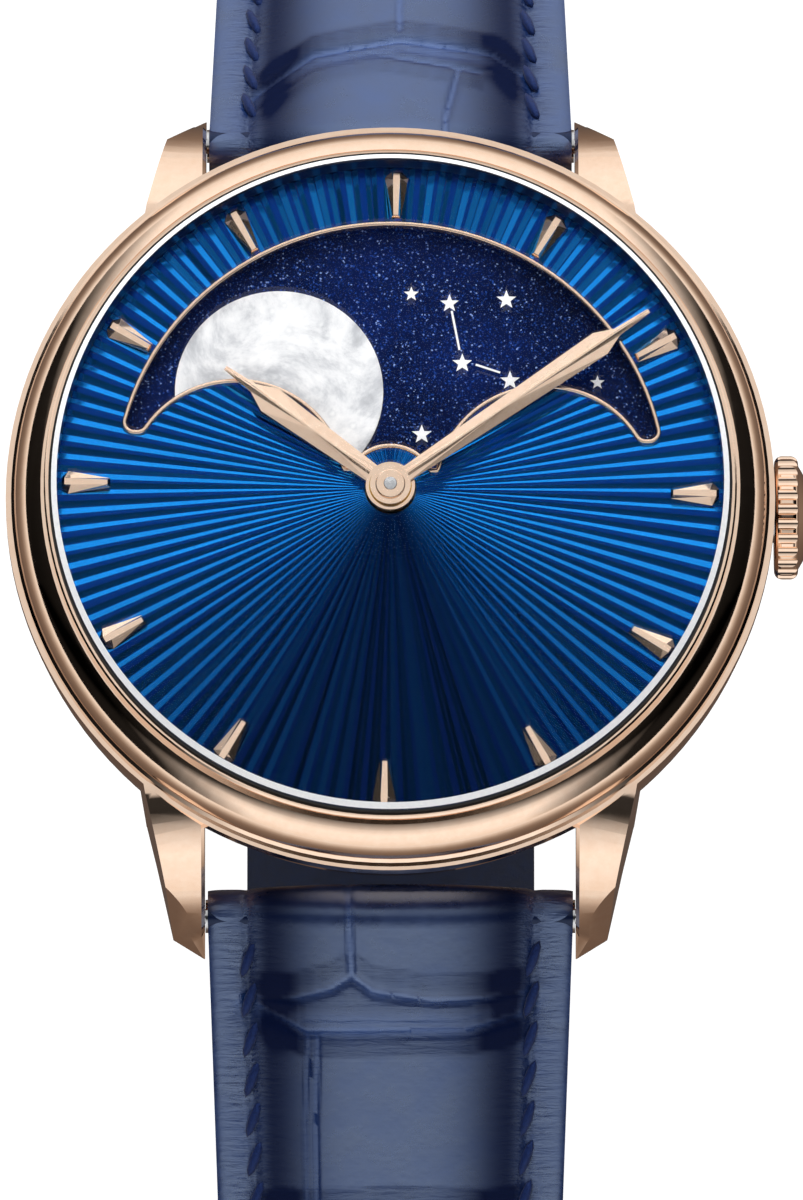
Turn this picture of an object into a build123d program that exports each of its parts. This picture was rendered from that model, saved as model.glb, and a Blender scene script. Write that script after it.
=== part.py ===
from build123d import *
import os
from math import acos, atan2, cos, degrees, pi, radians, sin, sqrt

# Moon phase wristwatch on a two-piece leather strap, laid out unbuckled in an open loop.
# Millimetres. +Z comes out of the dial, +Y points to 12 o'clock and +X to the crown.
# The origin is the centre of the case back's outer face.

# Fits that every piece shares
running_gap = 0.04
seat_gap = 0.03
overrun = 1.0

# Case middle and lugs
case_radius = 20.75
case_foot_step = 1.05
case_foot_radius = case_radius - case_foot_step
case_waist_step = 0.3
case_waist_radius = case_radius - case_waist_step
case_base_level = 1.4
case_waist_level = 4.6
case_top_level = 8.2
case_rim_height = 0.8
case_rim_step = 0.12
case_wall = 3.25
case_bore_radius = case_radius - case_wall
strap_recess_step = 1.45
strap_recess_radius = case_radius - strap_recess_step
crown_level = 4.0
lug_gap = 20.0
lug_base_width = 3.5
lug_tip_width = 2.0
lug_overhang = 2.75
lug_reach = case_radius + lug_overhang
lug_tip_level = -0.4
lug_tip_height = 1.6
lug_tip_slant = 0.8
lug_root_depth = 6.15
lug_root = case_radius - lug_root_depth
lug_belly_length = 4.5
lug_belly_reach = lug_reach - lug_belly_length
lug_shoulder_depth = 4.35
lug_shoulder_reach = case_radius - lug_shoulder_depth
lug_crest_overhang = 0.15
lug_crest_reach = case_radius + lug_crest_overhang
lug_crest_level = 5.3
lug_edge_break = 0.18
bar_inset = 1.9
bar_reach = lug_reach - bar_inset
bar_level = 1.5
bar_radius = 0.9
bar_tip_radius = 0.4
bar_tip_length = 0.9

# Bezel, crystal and flange ring
bezel_foot_step = 0.3
bezel_foot_radius = case_radius - bezel_foot_step
bezel_foot_level = 8.6
band_outer_step = 0.17
band_outer_radius = bezel_foot_radius - band_outer_step
band_outer_level = 8.75
band_crest_step = 0.65
band_crest_radius = bezel_foot_radius - band_crest_step
band_crest_level = 9.9
band_inner_step = 1.61
band_inner_radius = bezel_foot_radius - band_inner_step
band_inner_level = 10.6
groove_width = 0.18
groove_level = 10.4
lip_level = 11.2
lip_slope = 0.1
bezel_width = 2.03
bezel_bore_radius = bezel_foot_radius - bezel_width
gasket_wall = 0.1
crystal_level = 11.18
crystal_thickness = 0.82
crystal_bevel_width = 0.42
crystal_bevel_height = 0.42
flange_width = 0.47
flange_inner_radius = bezel_bore_radius - flange_width
flange_slope = 0.12

# Dial, moon window, markers and hands
dial_turn = -1.1
dial_play = 0.12
dial_radius = bezel_bore_radius - dial_play
dial_level = 10.1
dial_thickness = 0.4
dial_hole_radius = 1.4
window_inset = 3.6
window_radius = dial_radius - window_inset
window_tip_level = 3.0
window_notch_level = 1.15
window_tip_share = 0.61
window_tip_start = window_tip_share * window_radius
window_tip_round = 0.42
window_bump_share = 0.4061
window_bump_radius = window_bump_share * window_radius
window_bump_place_share = 0.5646
window_bump_offset = window_bump_place_share * window_radius
window_hub_radius = 2.5
window_frame_width = 0.24
window_frame_rise = 0.1
marker_count = 12
marker_inset = 0.6
marker_outer = dial_radius - marker_inset
marker_shoulder_inset = 0.95
marker_shoulder = dial_radius - marker_shoulder_inset
marker_inner_inset = 3.2
marker_inner = dial_radius - marker_inner_inset
marker_half_width = 0.635
marker_outer_half_width = 0.28
marker_inner_half_width = 0.14
marker_ridge_half_width = 0.09
marker_ridge_inset = 0.12
marker_height = 0.45
minute_angle = 34.9
minute_inset = 1.3
minute_length = dial_radius - minute_inset
minute_belly_inset = 3.2
minute_belly = minute_length - minute_belly_inset
minute_belly_half_width = 0.7
minute_neck_inset = 2.1
minute_neck = minute_length - minute_neck_inset
minute_neck_half_width = 0.24
minute_root_half_width = 0.42
minute_hub_radius = 1.1
minute_level = 10.76
hour_angle = 143.3
hour_inset = 5.9
hour_length = minute_length - hour_inset
hour_belly_inset = 3.0
hour_belly = hour_length - hour_belly_inset
hour_belly_half_width = 0.78
hour_neck_inset = 1.9
hour_neck = hour_length - hour_neck_inset
hour_neck_half_width = 0.26
hour_root_half_width = 0.5
hour_hub_radius = 1.33
hour_level = 10.42
hand_tip_half_width = 0.12
hand_slab = 0.08
hand_ridge = 0.14
hand_ridge_half_width = 0.04

# Moon disc and its drive
disc_lap = 0.25
disc_radius = window_radius + disc_lap
disc_level = 9.05
disc_thickness = 0.3
disc_bore_radius = 1.75
moon_bump_gap = 0.35
moon_radius = window_bump_radius - moon_bump_gap
moon_orbit_step = 0.05
moon_orbit = window_bump_offset - moon_orbit_step
moon_angle = 136.7
moon_thickness = 0.15
disc_hub_teeth = 60
disc_hub_module = 0.1
disc_hub_height = 0.25
moon_plate_thickness = 0.3
moon_plate_level = 8.1
moon_sleeve_radius = 1.7
moon_sleeve_bore = 1.3

# Movement
movement_radius = 13.2
moon_plate_inset = 0.6
moon_plate_radius = movement_radius - moon_plate_inset
ring_foot_level = 3.0
ring_bore_play = 0.25
ring_bore_radius = disc_radius + ring_bore_play
ring_step_gap = 0.1
ring_step_level = moon_plate_level + moon_plate_thickness + ring_step_gap
plate_base_level = 5.2
plate_top_level = 7.0
bridge_level = 2.7
bridge_thickness = 0.8
bridge_radius = 10.9
rim_wall_offset = 0.4
rotor_clearance = 0.4
boss_radius = 1.6
barrel_bridge_start = -16.0
barrel_bridge_sweep = 116.0
train_bridge_start = 102.0
train_bridge_sweep = 148.0
cock_start = 262.0
cock_sweep = 74.0
arbor_hub_radius = 0.6
arbor_core_radius = 0.9
arbor_collar_radius = 0.3
pallet_foot_distance = 2.0
pallet_bridge_level = 4.25
pallet_bridge_thickness = 0.25
barrel_cover_thickness = 0.15
jewel_radius = 0.75
jewel_thickness = 0.3
arbor_radius = 0.18
pivot_play = 0.03
wheel_thickness = 0.18

# Going train: teeth, modules and the heights of each wheel
barrel_teeth = 84
centre_pinion_leaves = 12
barrel_module = 0.11
centre_teeth = 80
third_pinion_leaves = 10
centre_module = 0.1
third_teeth = 75
fourth_pinion_leaves = 10
third_module = 0.09
fourth_teeth = 70
escape_pinion_leaves = 7
fourth_module = 0.08
escape_teeth = 15
escape_radius = 2.0
third_direction = 160.0
fourth_direction = -100.0
escape_direction = -60.0
pallet_direction = -12.0
pallet_distance = 2.55
balance_distance = 3.1
barrel_floor_level = 3.9
barrel_height = 1.2
barrel_wall = 0.35
barrel_rim_height = 0.35
centre_wheel_level = 3.56
third_wheel_level = 3.9
fourth_wheel_level = 4.2
escape_wheel_level = 4.6
balance_radius = 4.2
balance_rim_width = 0.55
balance_rim_height = 0.32
balance_level = 3.86
roller_radius = 0.42
spring_inner_radius = 0.5
spring_outer_radius = 2.0
spring_turns = 7
spring_wall = 0.06
spring_height = 0.16
mainspring_turns = 6
mainspring_wall = 0.16

# Winding work
stem_radius = 0.45
stem_inner_end = 8.0
winding_pinion_radius = 1.15
winding_pinion_teeth = 16
winding_pinion_start = 10.3
winding_pinion_length = 0.9
sliding_pinion_radius = 0.95
sliding_pinion_start = 9.3
sliding_pinion_length = 0.9
crown_wheel_teeth = 22
ratchet_teeth = 35
winding_module = 0.2
crown_wheel_offset = 8.6
winding_wheel_level = 2.12
winding_wheel_thickness = 0.5
lever_thickness = 0.3
lever_pin_radius = 0.25
crown_travel = 0.8
lever_place = 11.7
lever_groove = 0.6
yoke_place = 9.8
click_distance = 5.0
click_direction = 95.0
click_length = 1.25
click_turn = 25.0
click_radius = 0.5
click_width = 0.45
yoke_length = 3.2
lever_length = 2.6
lever_width = 1.1

# Motion work under the dial
cannon_leaves = 12
minute_wheel_teeth = 36
motion_module = 0.12
minute_pinion_leaves = 10
hour_wheel_teeth = 40
minute_wheel_direction = -60.0
cannon_level = 7.06
hour_wheel_level = 7.5
day_wheel_teeth = 80
day_wheel_direction = 120.0
cannon_tube_radius = 0.75
hour_tube_radius = 1.15

# Rotor and case back
rotor_radius = 13.0
rotor_rim_width = 1.85
rotor_level = 1.42
rotor_web = 0.5
rotor_rim_height = 1.35
rotor_hub_radius = 1.9
rotor_slot_radius = 7.6
rotor_start = 180.0
rotor_slot_turn = 32.0
rotor_slot_length = 5.0
rotor_slot_width = 2.4
rotor_bearing_radius = 1.2
movement_screw_orbit = 9.6
movement_screw_radius = 0.5
movement_screw_height = 0.3
movement_screw_turns = (88.0, 112.0, 240.0, 268.0, 330.0)
back_step = 0.7
back_radius = case_foot_radius - back_step
back_height = 1.37
back_edge_break = 0.2
back_window_inset = 3.8
back_window_radius = case_bore_radius - back_window_inset
back_window_seat = 0.4
back_window_rebate = 0.8
back_spigot_wall = 0.7
back_spigot_height = 1.1
back_screw_count = 6
back_screw_inset = 0.7
back_screw_orbit = case_bore_radius + back_screw_inset
back_screw_radius = 0.38
back_screw_head_radius = 0.55
back_screw_head_height = 0.4
back_screw_length = 2.6

# Crown
crown_seat = 0.01
crown_start = case_radius - crown_seat
crown_length = 1.65
crown_radius = 3.35
crown_dome = 0.35
crown_flutes = 26
crown_flute_radius = 0.34
crown_flute_sink = 0.1
crown_round = 0.45
crown_tube_radius = 1.35
crown_tube_wall = 0.5
crown_tube_inset = 0.7
crown_tube_start = case_bore_radius + crown_tube_inset
crown_well_depth = 1.1
crown_well_radius = 1.9
crown_gasket_width = 0.4
crown_dome_taper = 60.0
crown_flute_margin = 0.2

# Strap halves: the route of each runs down from its lug bar to the surface below
strap_width = 19.7
strap_end_width = 16.0
taper_length = 57.0
strap_slope = 31.0
strap_first_run = 18.0
loop_radius = 1.75
strap_crown = 1.75
strap_edge = 0.95
strap_under = 0.45
strap_end_crown = 1.1
strap_end_edge = 0.75
strap_end_under = 0.1
lining_thickness = 1.0
lining_start = 3.0
padding_run = 34.0
strap_step = 3.0
long_bend_radius = 24.0
long_floor_radius = 18.0
tail_gap = 1.63
short_bend_radius = 18.0
short_floor_radius = 13.0
short_foot = 8.0
hole_count = 7
hole_radius = 0.9
hole_spacing = 6.0
hole_first = 16.0
tail_point = 7.0
tail_half_width = 2.6
tail_cheek_half = 6.8
tail_cheek_share = 0.35

# Keepers and buckle
keeper_thickness = 0.9
keeper_play = 0.12
fixed_keeper_width = 3.6
fixed_keeper_place = 2.0
free_keeper_width = 5.0
free_keeper_travel = 2.0
buckle_pin_radius = 0.75
buckle_loop_radius = 1.25
buckle_side = 1.7
buckle_inside = 16.5
buckle_length = 10.5
buckle_bar = 2.2
buckle_thickness = 1.4
buckle_ear_radius = 1.25
buckle_round = 1.6
tang_width = 1.6
tang_thickness = 0.62
tang_overhang = 0.8
tang_slot = 2.1
tang_slot_depth = 2.4
tang_wall = 0.45
buckle_sink = 0.35

# Places worked out from the sizes above
bridge_top = bridge_level + bridge_thickness
barrel_distance = (barrel_teeth + centre_pinion_leaves) / 2 * barrel_module
winding_distance = (crown_wheel_teeth + ratchet_teeth) / 2 * winding_module
barrel_cosine = (barrel_distance**2 + crown_wheel_offset**2 - winding_distance**2) / (
    2 * barrel_distance * crown_wheel_offset
)
barrel_direction = degrees(acos(barrel_cosine))


def polar(distance, direction, start=(0, 0)):
    """Gives the point at a distance and a direction in degrees from a start point."""
    angle = radians(direction)
    return (start[0] + distance * cos(angle), start[1] + distance * sin(angle))


centre_axis = (0, 0)
barrel_axis = polar(barrel_distance, barrel_direction)
third_distance = (centre_teeth + third_pinion_leaves) / 2 * centre_module
third_axis = polar(third_distance, third_direction)
fourth_distance = (third_teeth + fourth_pinion_leaves) / 2 * third_module
fourth_axis = polar(fourth_distance, fourth_direction, third_axis)
escape_distance = (fourth_teeth + escape_pinion_leaves) / 2 * fourth_module
escape_axis = polar(escape_distance, escape_direction, fourth_axis)
pallet_axis = polar(pallet_distance, pallet_direction, escape_axis)
balance_axis = polar(balance_distance, pallet_direction, pallet_axis)
crown_wheel_axis = (crown_wheel_offset, 0)
motion_distance = (cannon_leaves + minute_wheel_teeth) / 2 * motion_module
minute_wheel_axis = polar(motion_distance, minute_wheel_direction)
minute_pinion_module = 2 * motion_distance / (minute_pinion_leaves + hour_wheel_teeth)
day_module = minute_pinion_module
day_distance = (hour_wheel_teeth + day_wheel_teeth) / 2 * day_module
day_wheel_axis = polar(day_distance, day_wheel_direction)


def save(part, label):
    """Labels a finished piece and writes it as its own file."""
    part.label = label
    export_step(part, f"parts/{label}.step")


def direction_of(point, start):
    """Gives the direction in degrees from one axis to another."""
    return degrees(atan2(point[1] - start[1], point[0] - start[0]))


def tooth_points(teeth, module, phase, tooth_share=0.42, tip_share=0.2):
    """Gives the corners of a toothed rim with one tooth centred on the phase angle."""
    pitch_radius = teeth * module / 2
    root_radius = pitch_radius - 0.8 * module
    tip_radius = pitch_radius + 0.6 * module
    points = []
    for tooth in range(teeth):
        middle = radians(phase) + 2 * pi * tooth / teeth
        for radius, share in (
            (root_radius, -tooth_share),
            (tip_radius, -tip_share),
            (tip_radius, tip_share),
            (root_radius, tooth_share),
        ):
            angle = middle + share * pi / teeth * (2 if radius == tip_radius else 1.3)
            points.append((radius * cos(angle), radius * sin(angle)))
    return points


def toothed_wheel(axis, teeth, module, level, thickness, phase, bore=0, spokes=0):
    """Makes a wheel or pinion: teeth, an optional bore, and windows between its arms."""
    root_radius = teeth * module / 2 - 0.8 * module
    rim_radius = root_radius - 2.2 * module
    hub_radius = root_radius * 0.24
    with BuildPart() as wheel:
        with BuildSketch(Plane((axis[0], axis[1], level))):
            with BuildLine():
                Polyline(*tooth_points(teeth, module, phase), close=True)
            make_face()
            if bore:
                Circle(bore, mode=Mode.SUBTRACT)
        extrude(amount=thickness)
        if spokes:
            with BuildSketch(Plane((axis[0], axis[1], level))):
                Circle(rim_radius)
                Circle(hub_radius, mode=Mode.SUBTRACT)
                with PolarLocations(0, spokes):
                    Rectangle(
                        rim_radius + module,
                        root_radius * 0.12,
                        align=(Align.MIN, Align.CENTER),
                        mode=Mode.SUBTRACT,
                    )
            extrude(amount=thickness, mode=Mode.SUBTRACT)
    return wheel.part


def post(axis, radius, low, high, bore=0):
    """Makes a round post or tube parallel to Z between two levels."""
    with BuildPart() as rod:
        with BuildSketch(Plane((axis[0], axis[1], low))):
            Circle(radius)
            if bore:
                Circle(bore, mode=Mode.SUBTRACT)
        extrude(amount=high - low)
    return rod.part


def mesh_phase(own_axis, own_teeth, mate_axis, mate_teeth, mate_phase):
    """Gives the phase that puts a gap of this wheel on the mate's tooth."""
    towards_own = direction_of(own_axis, mate_axis)
    towards_mate = direction_of(mate_axis, own_axis)
    mate_pitch = 360 / mate_teeth
    offset = (towards_own - mate_phase) % mate_pitch / mate_pitch
    own_pitch = 360 / own_teeth
    return towards_mate + own_pitch / 2 + offset * own_pitch


os.makedirs("parts", exist_ok=True)

# One lug, drawn from the side and cut to its plan outline; the other three are its mirror images
lug_inner = lug_gap / 2
lug_tip_outer = lug_inner + lug_tip_width
lug_base_outer = lug_inner + lug_base_width
lug_upper_reach = lug_reach - lug_tip_slant
lug_upper_level = lug_tip_level + lug_tip_height
with BuildPart() as lug:
    with BuildSketch(Plane.YZ.offset(lug_inner)):
        with BuildLine():
            Polyline(
                (lug_upper_reach, lug_upper_level),
                (lug_reach, lug_tip_level),
                (lug_belly_reach, case_base_level),
                (lug_root, case_base_level),
                (lug_root, case_top_level),
                (lug_shoulder_reach, case_top_level),
            )
            ThreePointArc(
                (lug_shoulder_reach, case_top_level),
                (lug_crest_reach, lug_crest_level),
                (lug_upper_reach, lug_upper_level),
            )
        make_face()
    extrude(amount=lug_base_width)
    with BuildSketch(Plane.XY.offset(lug_tip_level - overrun)):
        with BuildLine():
            Polyline(
                (lug_inner, lug_root),
                (lug_base_outer, lug_root),
                (lug_tip_outer, lug_reach),
                (lug_inner, lug_reach),
                close=True,
            )
        make_face()
    extrude(amount=case_top_level - lug_tip_level + 2 * overrun, mode=Mode.INTERSECT)
    chamfer(
        lug.edges().filter_by(GeomType.CIRCLE),
        lug_edge_break,
    )
    with BuildSketch(Plane.YZ.offset(lug_inner)):
        with Locations((bar_reach, bar_level)):
            Circle(bar_tip_radius + running_gap)
    extrude(amount=bar_tip_length + seat_gap, mode=Mode.SUBTRACT)

# Case middle: the turned band, the recesses between the lugs, the lugs and the bores
with BuildPart() as case_middle:
    with BuildSketch(Plane.XZ):
        with BuildLine():
            Polyline(
                (case_foot_radius, case_base_level),
                (case_bore_radius, case_base_level),
                (case_bore_radius, case_top_level),
                (case_radius, case_top_level),
                (case_radius, case_top_level - case_rim_height),
                (case_radius - case_rim_step, case_top_level - case_rim_height),
            )
            ThreePointArc(
                (case_radius - case_rim_step, case_top_level - case_rim_height),
                (case_waist_radius, case_waist_level),
                (case_foot_radius, case_base_level),
            )
        make_face()
    revolve(axis=Axis.Z)
    with BuildSketch(Plane.XY.offset(case_base_level - overrun)):
        Rectangle(lug_gap, 2 * case_radius + 2 * overrun)
        Circle(strap_recess_radius, mode=Mode.SUBTRACT)
    extrude(
        amount=case_top_level - case_rim_height - case_base_level + overrun,
        mode=Mode.SUBTRACT,
    )
    add(lug.part)
    mirror(lug.part, about=Plane.XZ)
    add(mirror(mirror(lug.part, about=Plane.YZ, mode=Mode.PRIVATE), about=Plane.XZ, mode=Mode.PRIVATE))
    mirror(lug.part, about=Plane.YZ)
    with BuildSketch(Plane.YZ.offset(case_bore_radius - overrun)):
        with Locations((0, crown_level)):
            Circle(crown_tube_radius + seat_gap)
    extrude(amount=case_radius, mode=Mode.SUBTRACT)
    with BuildSketch(Plane.XY.offset(case_base_level - overrun)):
        with PolarLocations(back_screw_orbit, back_screw_count):
            Circle(back_screw_radius + seat_gap)
    extrude(amount=overrun + back_screw_length, mode=Mode.SUBTRACT)
save(case_middle.part, "case_middle")

# Bezel: a convex polished band, a narrow groove and the raised lip round the crystal
lip_radius = band_inner_radius - groove_width
with BuildPart() as bezel:
    with BuildSketch(Plane.XZ):
        with BuildLine():
            Polyline(
                (band_outer_radius, band_outer_level),
                (bezel_foot_radius, bezel_foot_level),
                (bezel_foot_radius, case_top_level),
                (bezel_bore_radius, case_top_level),
                (bezel_bore_radius, lip_level),
                (lip_radius - lip_slope, lip_level),
                (lip_radius, lip_level - lip_slope),
                (lip_radius, groove_level),
                (band_inner_radius, groove_level),
                (band_inner_radius, band_inner_level),
            )
            ThreePointArc(
                (band_inner_radius, band_inner_level),
                (band_crest_radius, band_crest_level),
                (band_outer_radius, band_outer_level),
            )
        make_face()
    revolve(axis=Axis.Z)
save(bezel.part, "bezel")

# Crystal: a thick flat sapphire disc with a broad bevel round its top
crystal_radius = bezel_bore_radius - gasket_wall - 2 * seat_gap
crystal_top = crystal_level + crystal_thickness
with BuildPart() as crystal:
    with BuildSketch(Plane.XY.offset(crystal_level)):
        Circle(crystal_radius)
    extrude(amount=crystal_thickness)
    chamfer(
        crystal.edges().sort_by(Axis.Z)[-1],
        length=crystal_bevel_height,
        length2=crystal_bevel_width,
        reference=crystal.faces().filter_by(GeomType.CYLINDER)[0],
    )
save(crystal.part, "crystal")

# Flange ring: the low inner wall between the dial and the crystal
with BuildPart() as flange_ring:
    with BuildSketch(Plane.XZ):
        with BuildLine():
            Polyline(
                (flange_inner_radius, dial_level),
                (bezel_bore_radius - seat_gap, dial_level),
                (bezel_bore_radius - seat_gap, crystal_level),
                (flange_inner_radius + flange_slope, crystal_level),
                close=True,
            )
        make_face()
    revolve(axis=Axis.Z)
save(flange_ring.part, "flange_ring")


def window_sketch(grow=0):
    """Draws the crescent window: one wide arc over the hub, and a bump below each moon place."""
    with BuildSketch(Plane.XY) as outline:
        Circle(window_radius)
        with Locations((-window_bump_offset, 0), (window_bump_offset, 0)):
            Circle(window_bump_radius, mode=Mode.SUBTRACT)
        Circle(window_hub_radius, mode=Mode.SUBTRACT)
        with Locations((0, window_notch_level)):
            Rectangle(
                2 * window_radius,
                2 * window_radius,
                align=(Align.CENTER, Align.MAX),
                mode=Mode.SUBTRACT,
            )
        with Locations((-window_tip_start, window_tip_level)):
            Rectangle(window_radius, window_radius, align=(Align.MAX, Align.MAX), mode=Mode.SUBTRACT)
        with Locations((window_tip_start, window_tip_level)):
            Rectangle(window_radius, window_radius, align=(Align.MIN, Align.MAX), mode=Mode.SUBTRACT)
        tips = outline.vertices().filter_by(lambda v: abs(v.X) > window_tip_start)
        fillet(tips, window_tip_round)
        if grow:
            offset(amount=grow, kind=Kind.ARC)
    return outline.sketch


# Dial: a brass disc with the moon window, the hand hole and two feet below
window_face = window_sketch()
window_outer_face = window_sketch(window_frame_width)
dial_floor = dial_level - dial_thickness
dial_plane = Plane.XY.rotated((0, 0, dial_turn))
with BuildPart() as dial:
    with BuildSketch(dial_plane.offset(dial_floor)):
        Circle(dial_radius)
        Circle(dial_hole_radius, mode=Mode.SUBTRACT)
        add(window_outer_face, mode=Mode.SUBTRACT)
    extrude(amount=dial_thickness)
save(dial.part, "dial")

with BuildPart() as moon_window_frame:
    with BuildSketch(dial_plane.offset(dial_floor)):
        add(window_outer_face)
        add(window_face, mode=Mode.SUBTRACT)
    extrude(amount=dial_thickness + window_frame_rise)
save(moon_window_frame.part, "moon_window_frame")


def marker_outline(inset):
    """Gives a marker's six corners in plan, drawn in by an inset for its ridge."""
    sides = (
        (marker_inner, marker_inner_half_width),
        (marker_shoulder, marker_half_width),
        (marker_outer, marker_outer_half_width),
    )
    right = [(reach, side) for reach, side in sides]
    return right + [(reach, -side) for reach, side in reversed(sides)] if not inset else [
        (marker_inner + inset, marker_ridge_half_width),
        (marker_shoulder - inset, marker_ridge_half_width),
        (marker_outer - 2 * inset, marker_ridge_half_width),
        (marker_outer - 2 * inset, -marker_ridge_half_width),
        (marker_shoulder - inset, -marker_ridge_half_width),
        (marker_inner + inset, -marker_ridge_half_width),
    ]


# Hour markers: twelve faceted darts with a narrow flat ridge, each standing on the dial
with BuildPart() as hour_markers:
    for hour in range(marker_count):
        turned = Plane.XY.rotated((0, 0, dial_turn + 360 * hour / marker_count))
        with BuildSketch(turned.offset(dial_level)):
            Polygon(*marker_outline(0), align=None)
        with BuildSketch(turned.offset(dial_level + marker_height)):
            Polygon(*marker_outline(marker_ridge_inset), align=None)
        loft(ruled=True)
save(hour_markers.part, "hour_markers")


def hand_points(hub, length, belly, belly_half, neck, neck_half, root_half):
    """Gives a leaf hand's corners in plan, pointing along +X, from its root round its tip."""
    side = [
        (hub / 2, root_half),
        (belly, belly_half),
        (neck, neck_half),
        (length, hand_tip_half_width),
    ]
    return side + [(x, -y) for x, y in reversed(side)]


def leaf_hand(angle, level, hub, bore, outline, ridge_ends):
    """Makes a hand: a flat leaf with a ridge down its middle and a round hub with a bore."""
    turned = Plane.XY.rotated((0, 0, angle))
    last = len(outline) - 1
    ridge = []
    for index, (x, y) in enumerate(outline):
        at_root = index in (0, last)
        reach = ridge_ends[0] if at_root else min(x, ridge_ends[1])
        ridge.append((reach, hand_ridge_half_width * (1 if y > 0 else -1)))
    ridge[3] = (ridge_ends[1] + hand_ridge_half_width, ridge[3][1])
    ridge[4] = (ridge_ends[1] + hand_ridge_half_width, ridge[4][1])
    with BuildPart() as hand:
        with BuildSketch(turned.offset(level)):
            Polygon(*outline, align=None)
        extrude(amount=hand_slab)
        with BuildSketch(turned.offset(level + hand_slab)):
            Polygon(*outline, align=None)
        with BuildSketch(turned.offset(level + hand_slab + hand_ridge)):
            Polygon(*ridge, align=None)
        loft(ruled=True)
        with BuildSketch(Plane.XY.offset(level)):
            Circle(hub)
        extrude(amount=hand_slab + hand_ridge)
        with BuildSketch(Plane.XY.offset(level)):
            Circle(bore)
        extrude(amount=hand_slab + hand_ridge + overrun, mode=Mode.SUBTRACT)
    return hand.part


minute_outline = hand_points(
    minute_hub_radius,
    minute_length,
    minute_belly,
    minute_belly_half_width,
    minute_neck,
    minute_neck_half_width,
    minute_root_half_width,
)
minute_hand = leaf_hand(
    minute_angle,
    minute_level,
    minute_hub_radius,
    cannon_tube_radius,
    minute_outline,
    (minute_hub_radius, minute_neck),
)
save(minute_hand, "minute_hand")
hour_outline = hand_points(
    hour_hub_radius,
    hour_length,
    hour_belly,
    hour_belly_half_width,
    hour_neck,
    hour_neck_half_width,
    hour_root_half_width,
)
hour_hand = leaf_hand(
    hour_angle,
    hour_level,
    hour_hub_radius,
    hour_tube_radius,
    hour_outline,
    (hour_hub_radius, hour_neck),
)
save(hour_hand, "hour_hand")

# Motion work: cannon pinion, minute wheel with its pinion, and the hour wheel with its pipe
minute_hand_top = minute_level + hand_slab + hand_ridge
hour_hand_top = hour_level + hand_slab + hand_ridge
minute_wheel_phase = mesh_phase(
    minute_wheel_axis, minute_wheel_teeth, centre_axis, cannon_leaves, 0
)
hour_phase = mesh_phase(
    centre_axis, hour_wheel_teeth, minute_wheel_axis, minute_pinion_leaves, 0
)
centre_bore = arbor_radius + running_gap
with BuildPart() as cannon_pinion:
    add(
        toothed_wheel(
            centre_axis,
            cannon_leaves,
            motion_module,
            cannon_level,
            2 * wheel_thickness,
            0,
            centre_bore,
        )
    )
    add(post(centre_axis, cannon_tube_radius - 2 * running_gap, cannon_level, minute_level, centre_bore))
    add(post(centre_axis, cannon_tube_radius, minute_level, minute_hand_top, centre_bore))
    with BuildSketch(Plane.XY.offset(minute_hand_top)):
        Circle(arbor_radius * 2)
    extrude(amount=hand_ridge)
    fillet(cannon_pinion.edges().sort_by(Axis.Z)[-1], hand_ridge * 0.8)
save(cannon_pinion.part, "cannon_pinion")

with BuildPart() as minute_wheel:
    add(
        toothed_wheel(
            minute_wheel_axis,
            minute_wheel_teeth,
            motion_module,
            cannon_level,
            wheel_thickness,
            minute_wheel_phase,
            arbor_radius + running_gap,
        )
    )
    add(
        toothed_wheel(
            minute_wheel_axis,
            minute_pinion_leaves,
            minute_pinion_module,
            cannon_level + wheel_thickness,
            hour_wheel_level - cannon_level,
            0,
            arbor_radius + running_gap,
        )
    )
save(minute_wheel.part, "minute_wheel")

hour_bore = cannon_tube_radius - running_gap
with BuildPart() as hour_wheel:
    add(
        toothed_wheel(
            centre_axis,
            hour_wheel_teeth,
            minute_pinion_module,
            hour_wheel_level,
            wheel_thickness,
            hour_phase,
            hour_bore,
        )
    )
    add(post(centre_axis, hour_tube_radius, hour_wheel_level, hour_hand_top, hour_bore))
save(hour_wheel.part, "hour_wheel")

# Moon work: a day wheel with a pinion finger, a cover plate with its sleeve, disc and two moons
day_phase = mesh_phase(day_wheel_axis, day_wheel_teeth, centre_axis, hour_wheel_teeth, hour_phase)
day_post_radius = 2 * arbor_radius
day_wheel_level = hour_wheel_level
disc_floor = disc_level - disc_thickness
finger_top = disc_floor - seat_gap
with BuildPart() as day_wheel:
    add(
        toothed_wheel(
            day_wheel_axis,
            day_wheel_teeth,
            day_module,
            day_wheel_level,
            wheel_thickness,
            day_phase,
            day_post_radius + running_gap,
            4,
        )
    )
save(day_wheel.part, "day_wheel")

plate_top = moon_plate_level + moon_plate_thickness
with BuildPart() as moon_cover_plate:
    with BuildSketch(Plane.XY.offset(moon_plate_level)):
        Circle(moon_plate_radius)
        Circle(moon_sleeve_bore, mode=Mode.SUBTRACT)
    extrude(amount=moon_plate_thickness)
    add(post(centre_axis, moon_sleeve_radius, plate_top, disc_level, moon_sleeve_bore))
    add(post(day_wheel_axis, day_post_radius, plate_top - 4 * wheel_thickness, moon_plate_level))
    with BuildSketch(Plane.XY.offset(plate_top_level)):
        with PolarLocations(moon_plate_radius - 2 * jewel_radius, 3, start_angle=minute_wheel_direction):
            Circle(jewel_radius)
    extrude(amount=moon_plate_level - plate_top_level)
save(moon_cover_plate.part, "moon_cover_plate")

with BuildPart() as moon_disc:
    with BuildSketch(Plane.XY.offset(disc_floor)):
        Circle(disc_radius)
        Circle(moon_sleeve_radius + running_gap, mode=Mode.SUBTRACT)
    extrude(amount=disc_thickness)
save(moon_disc.part, "moon_disc")

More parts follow.
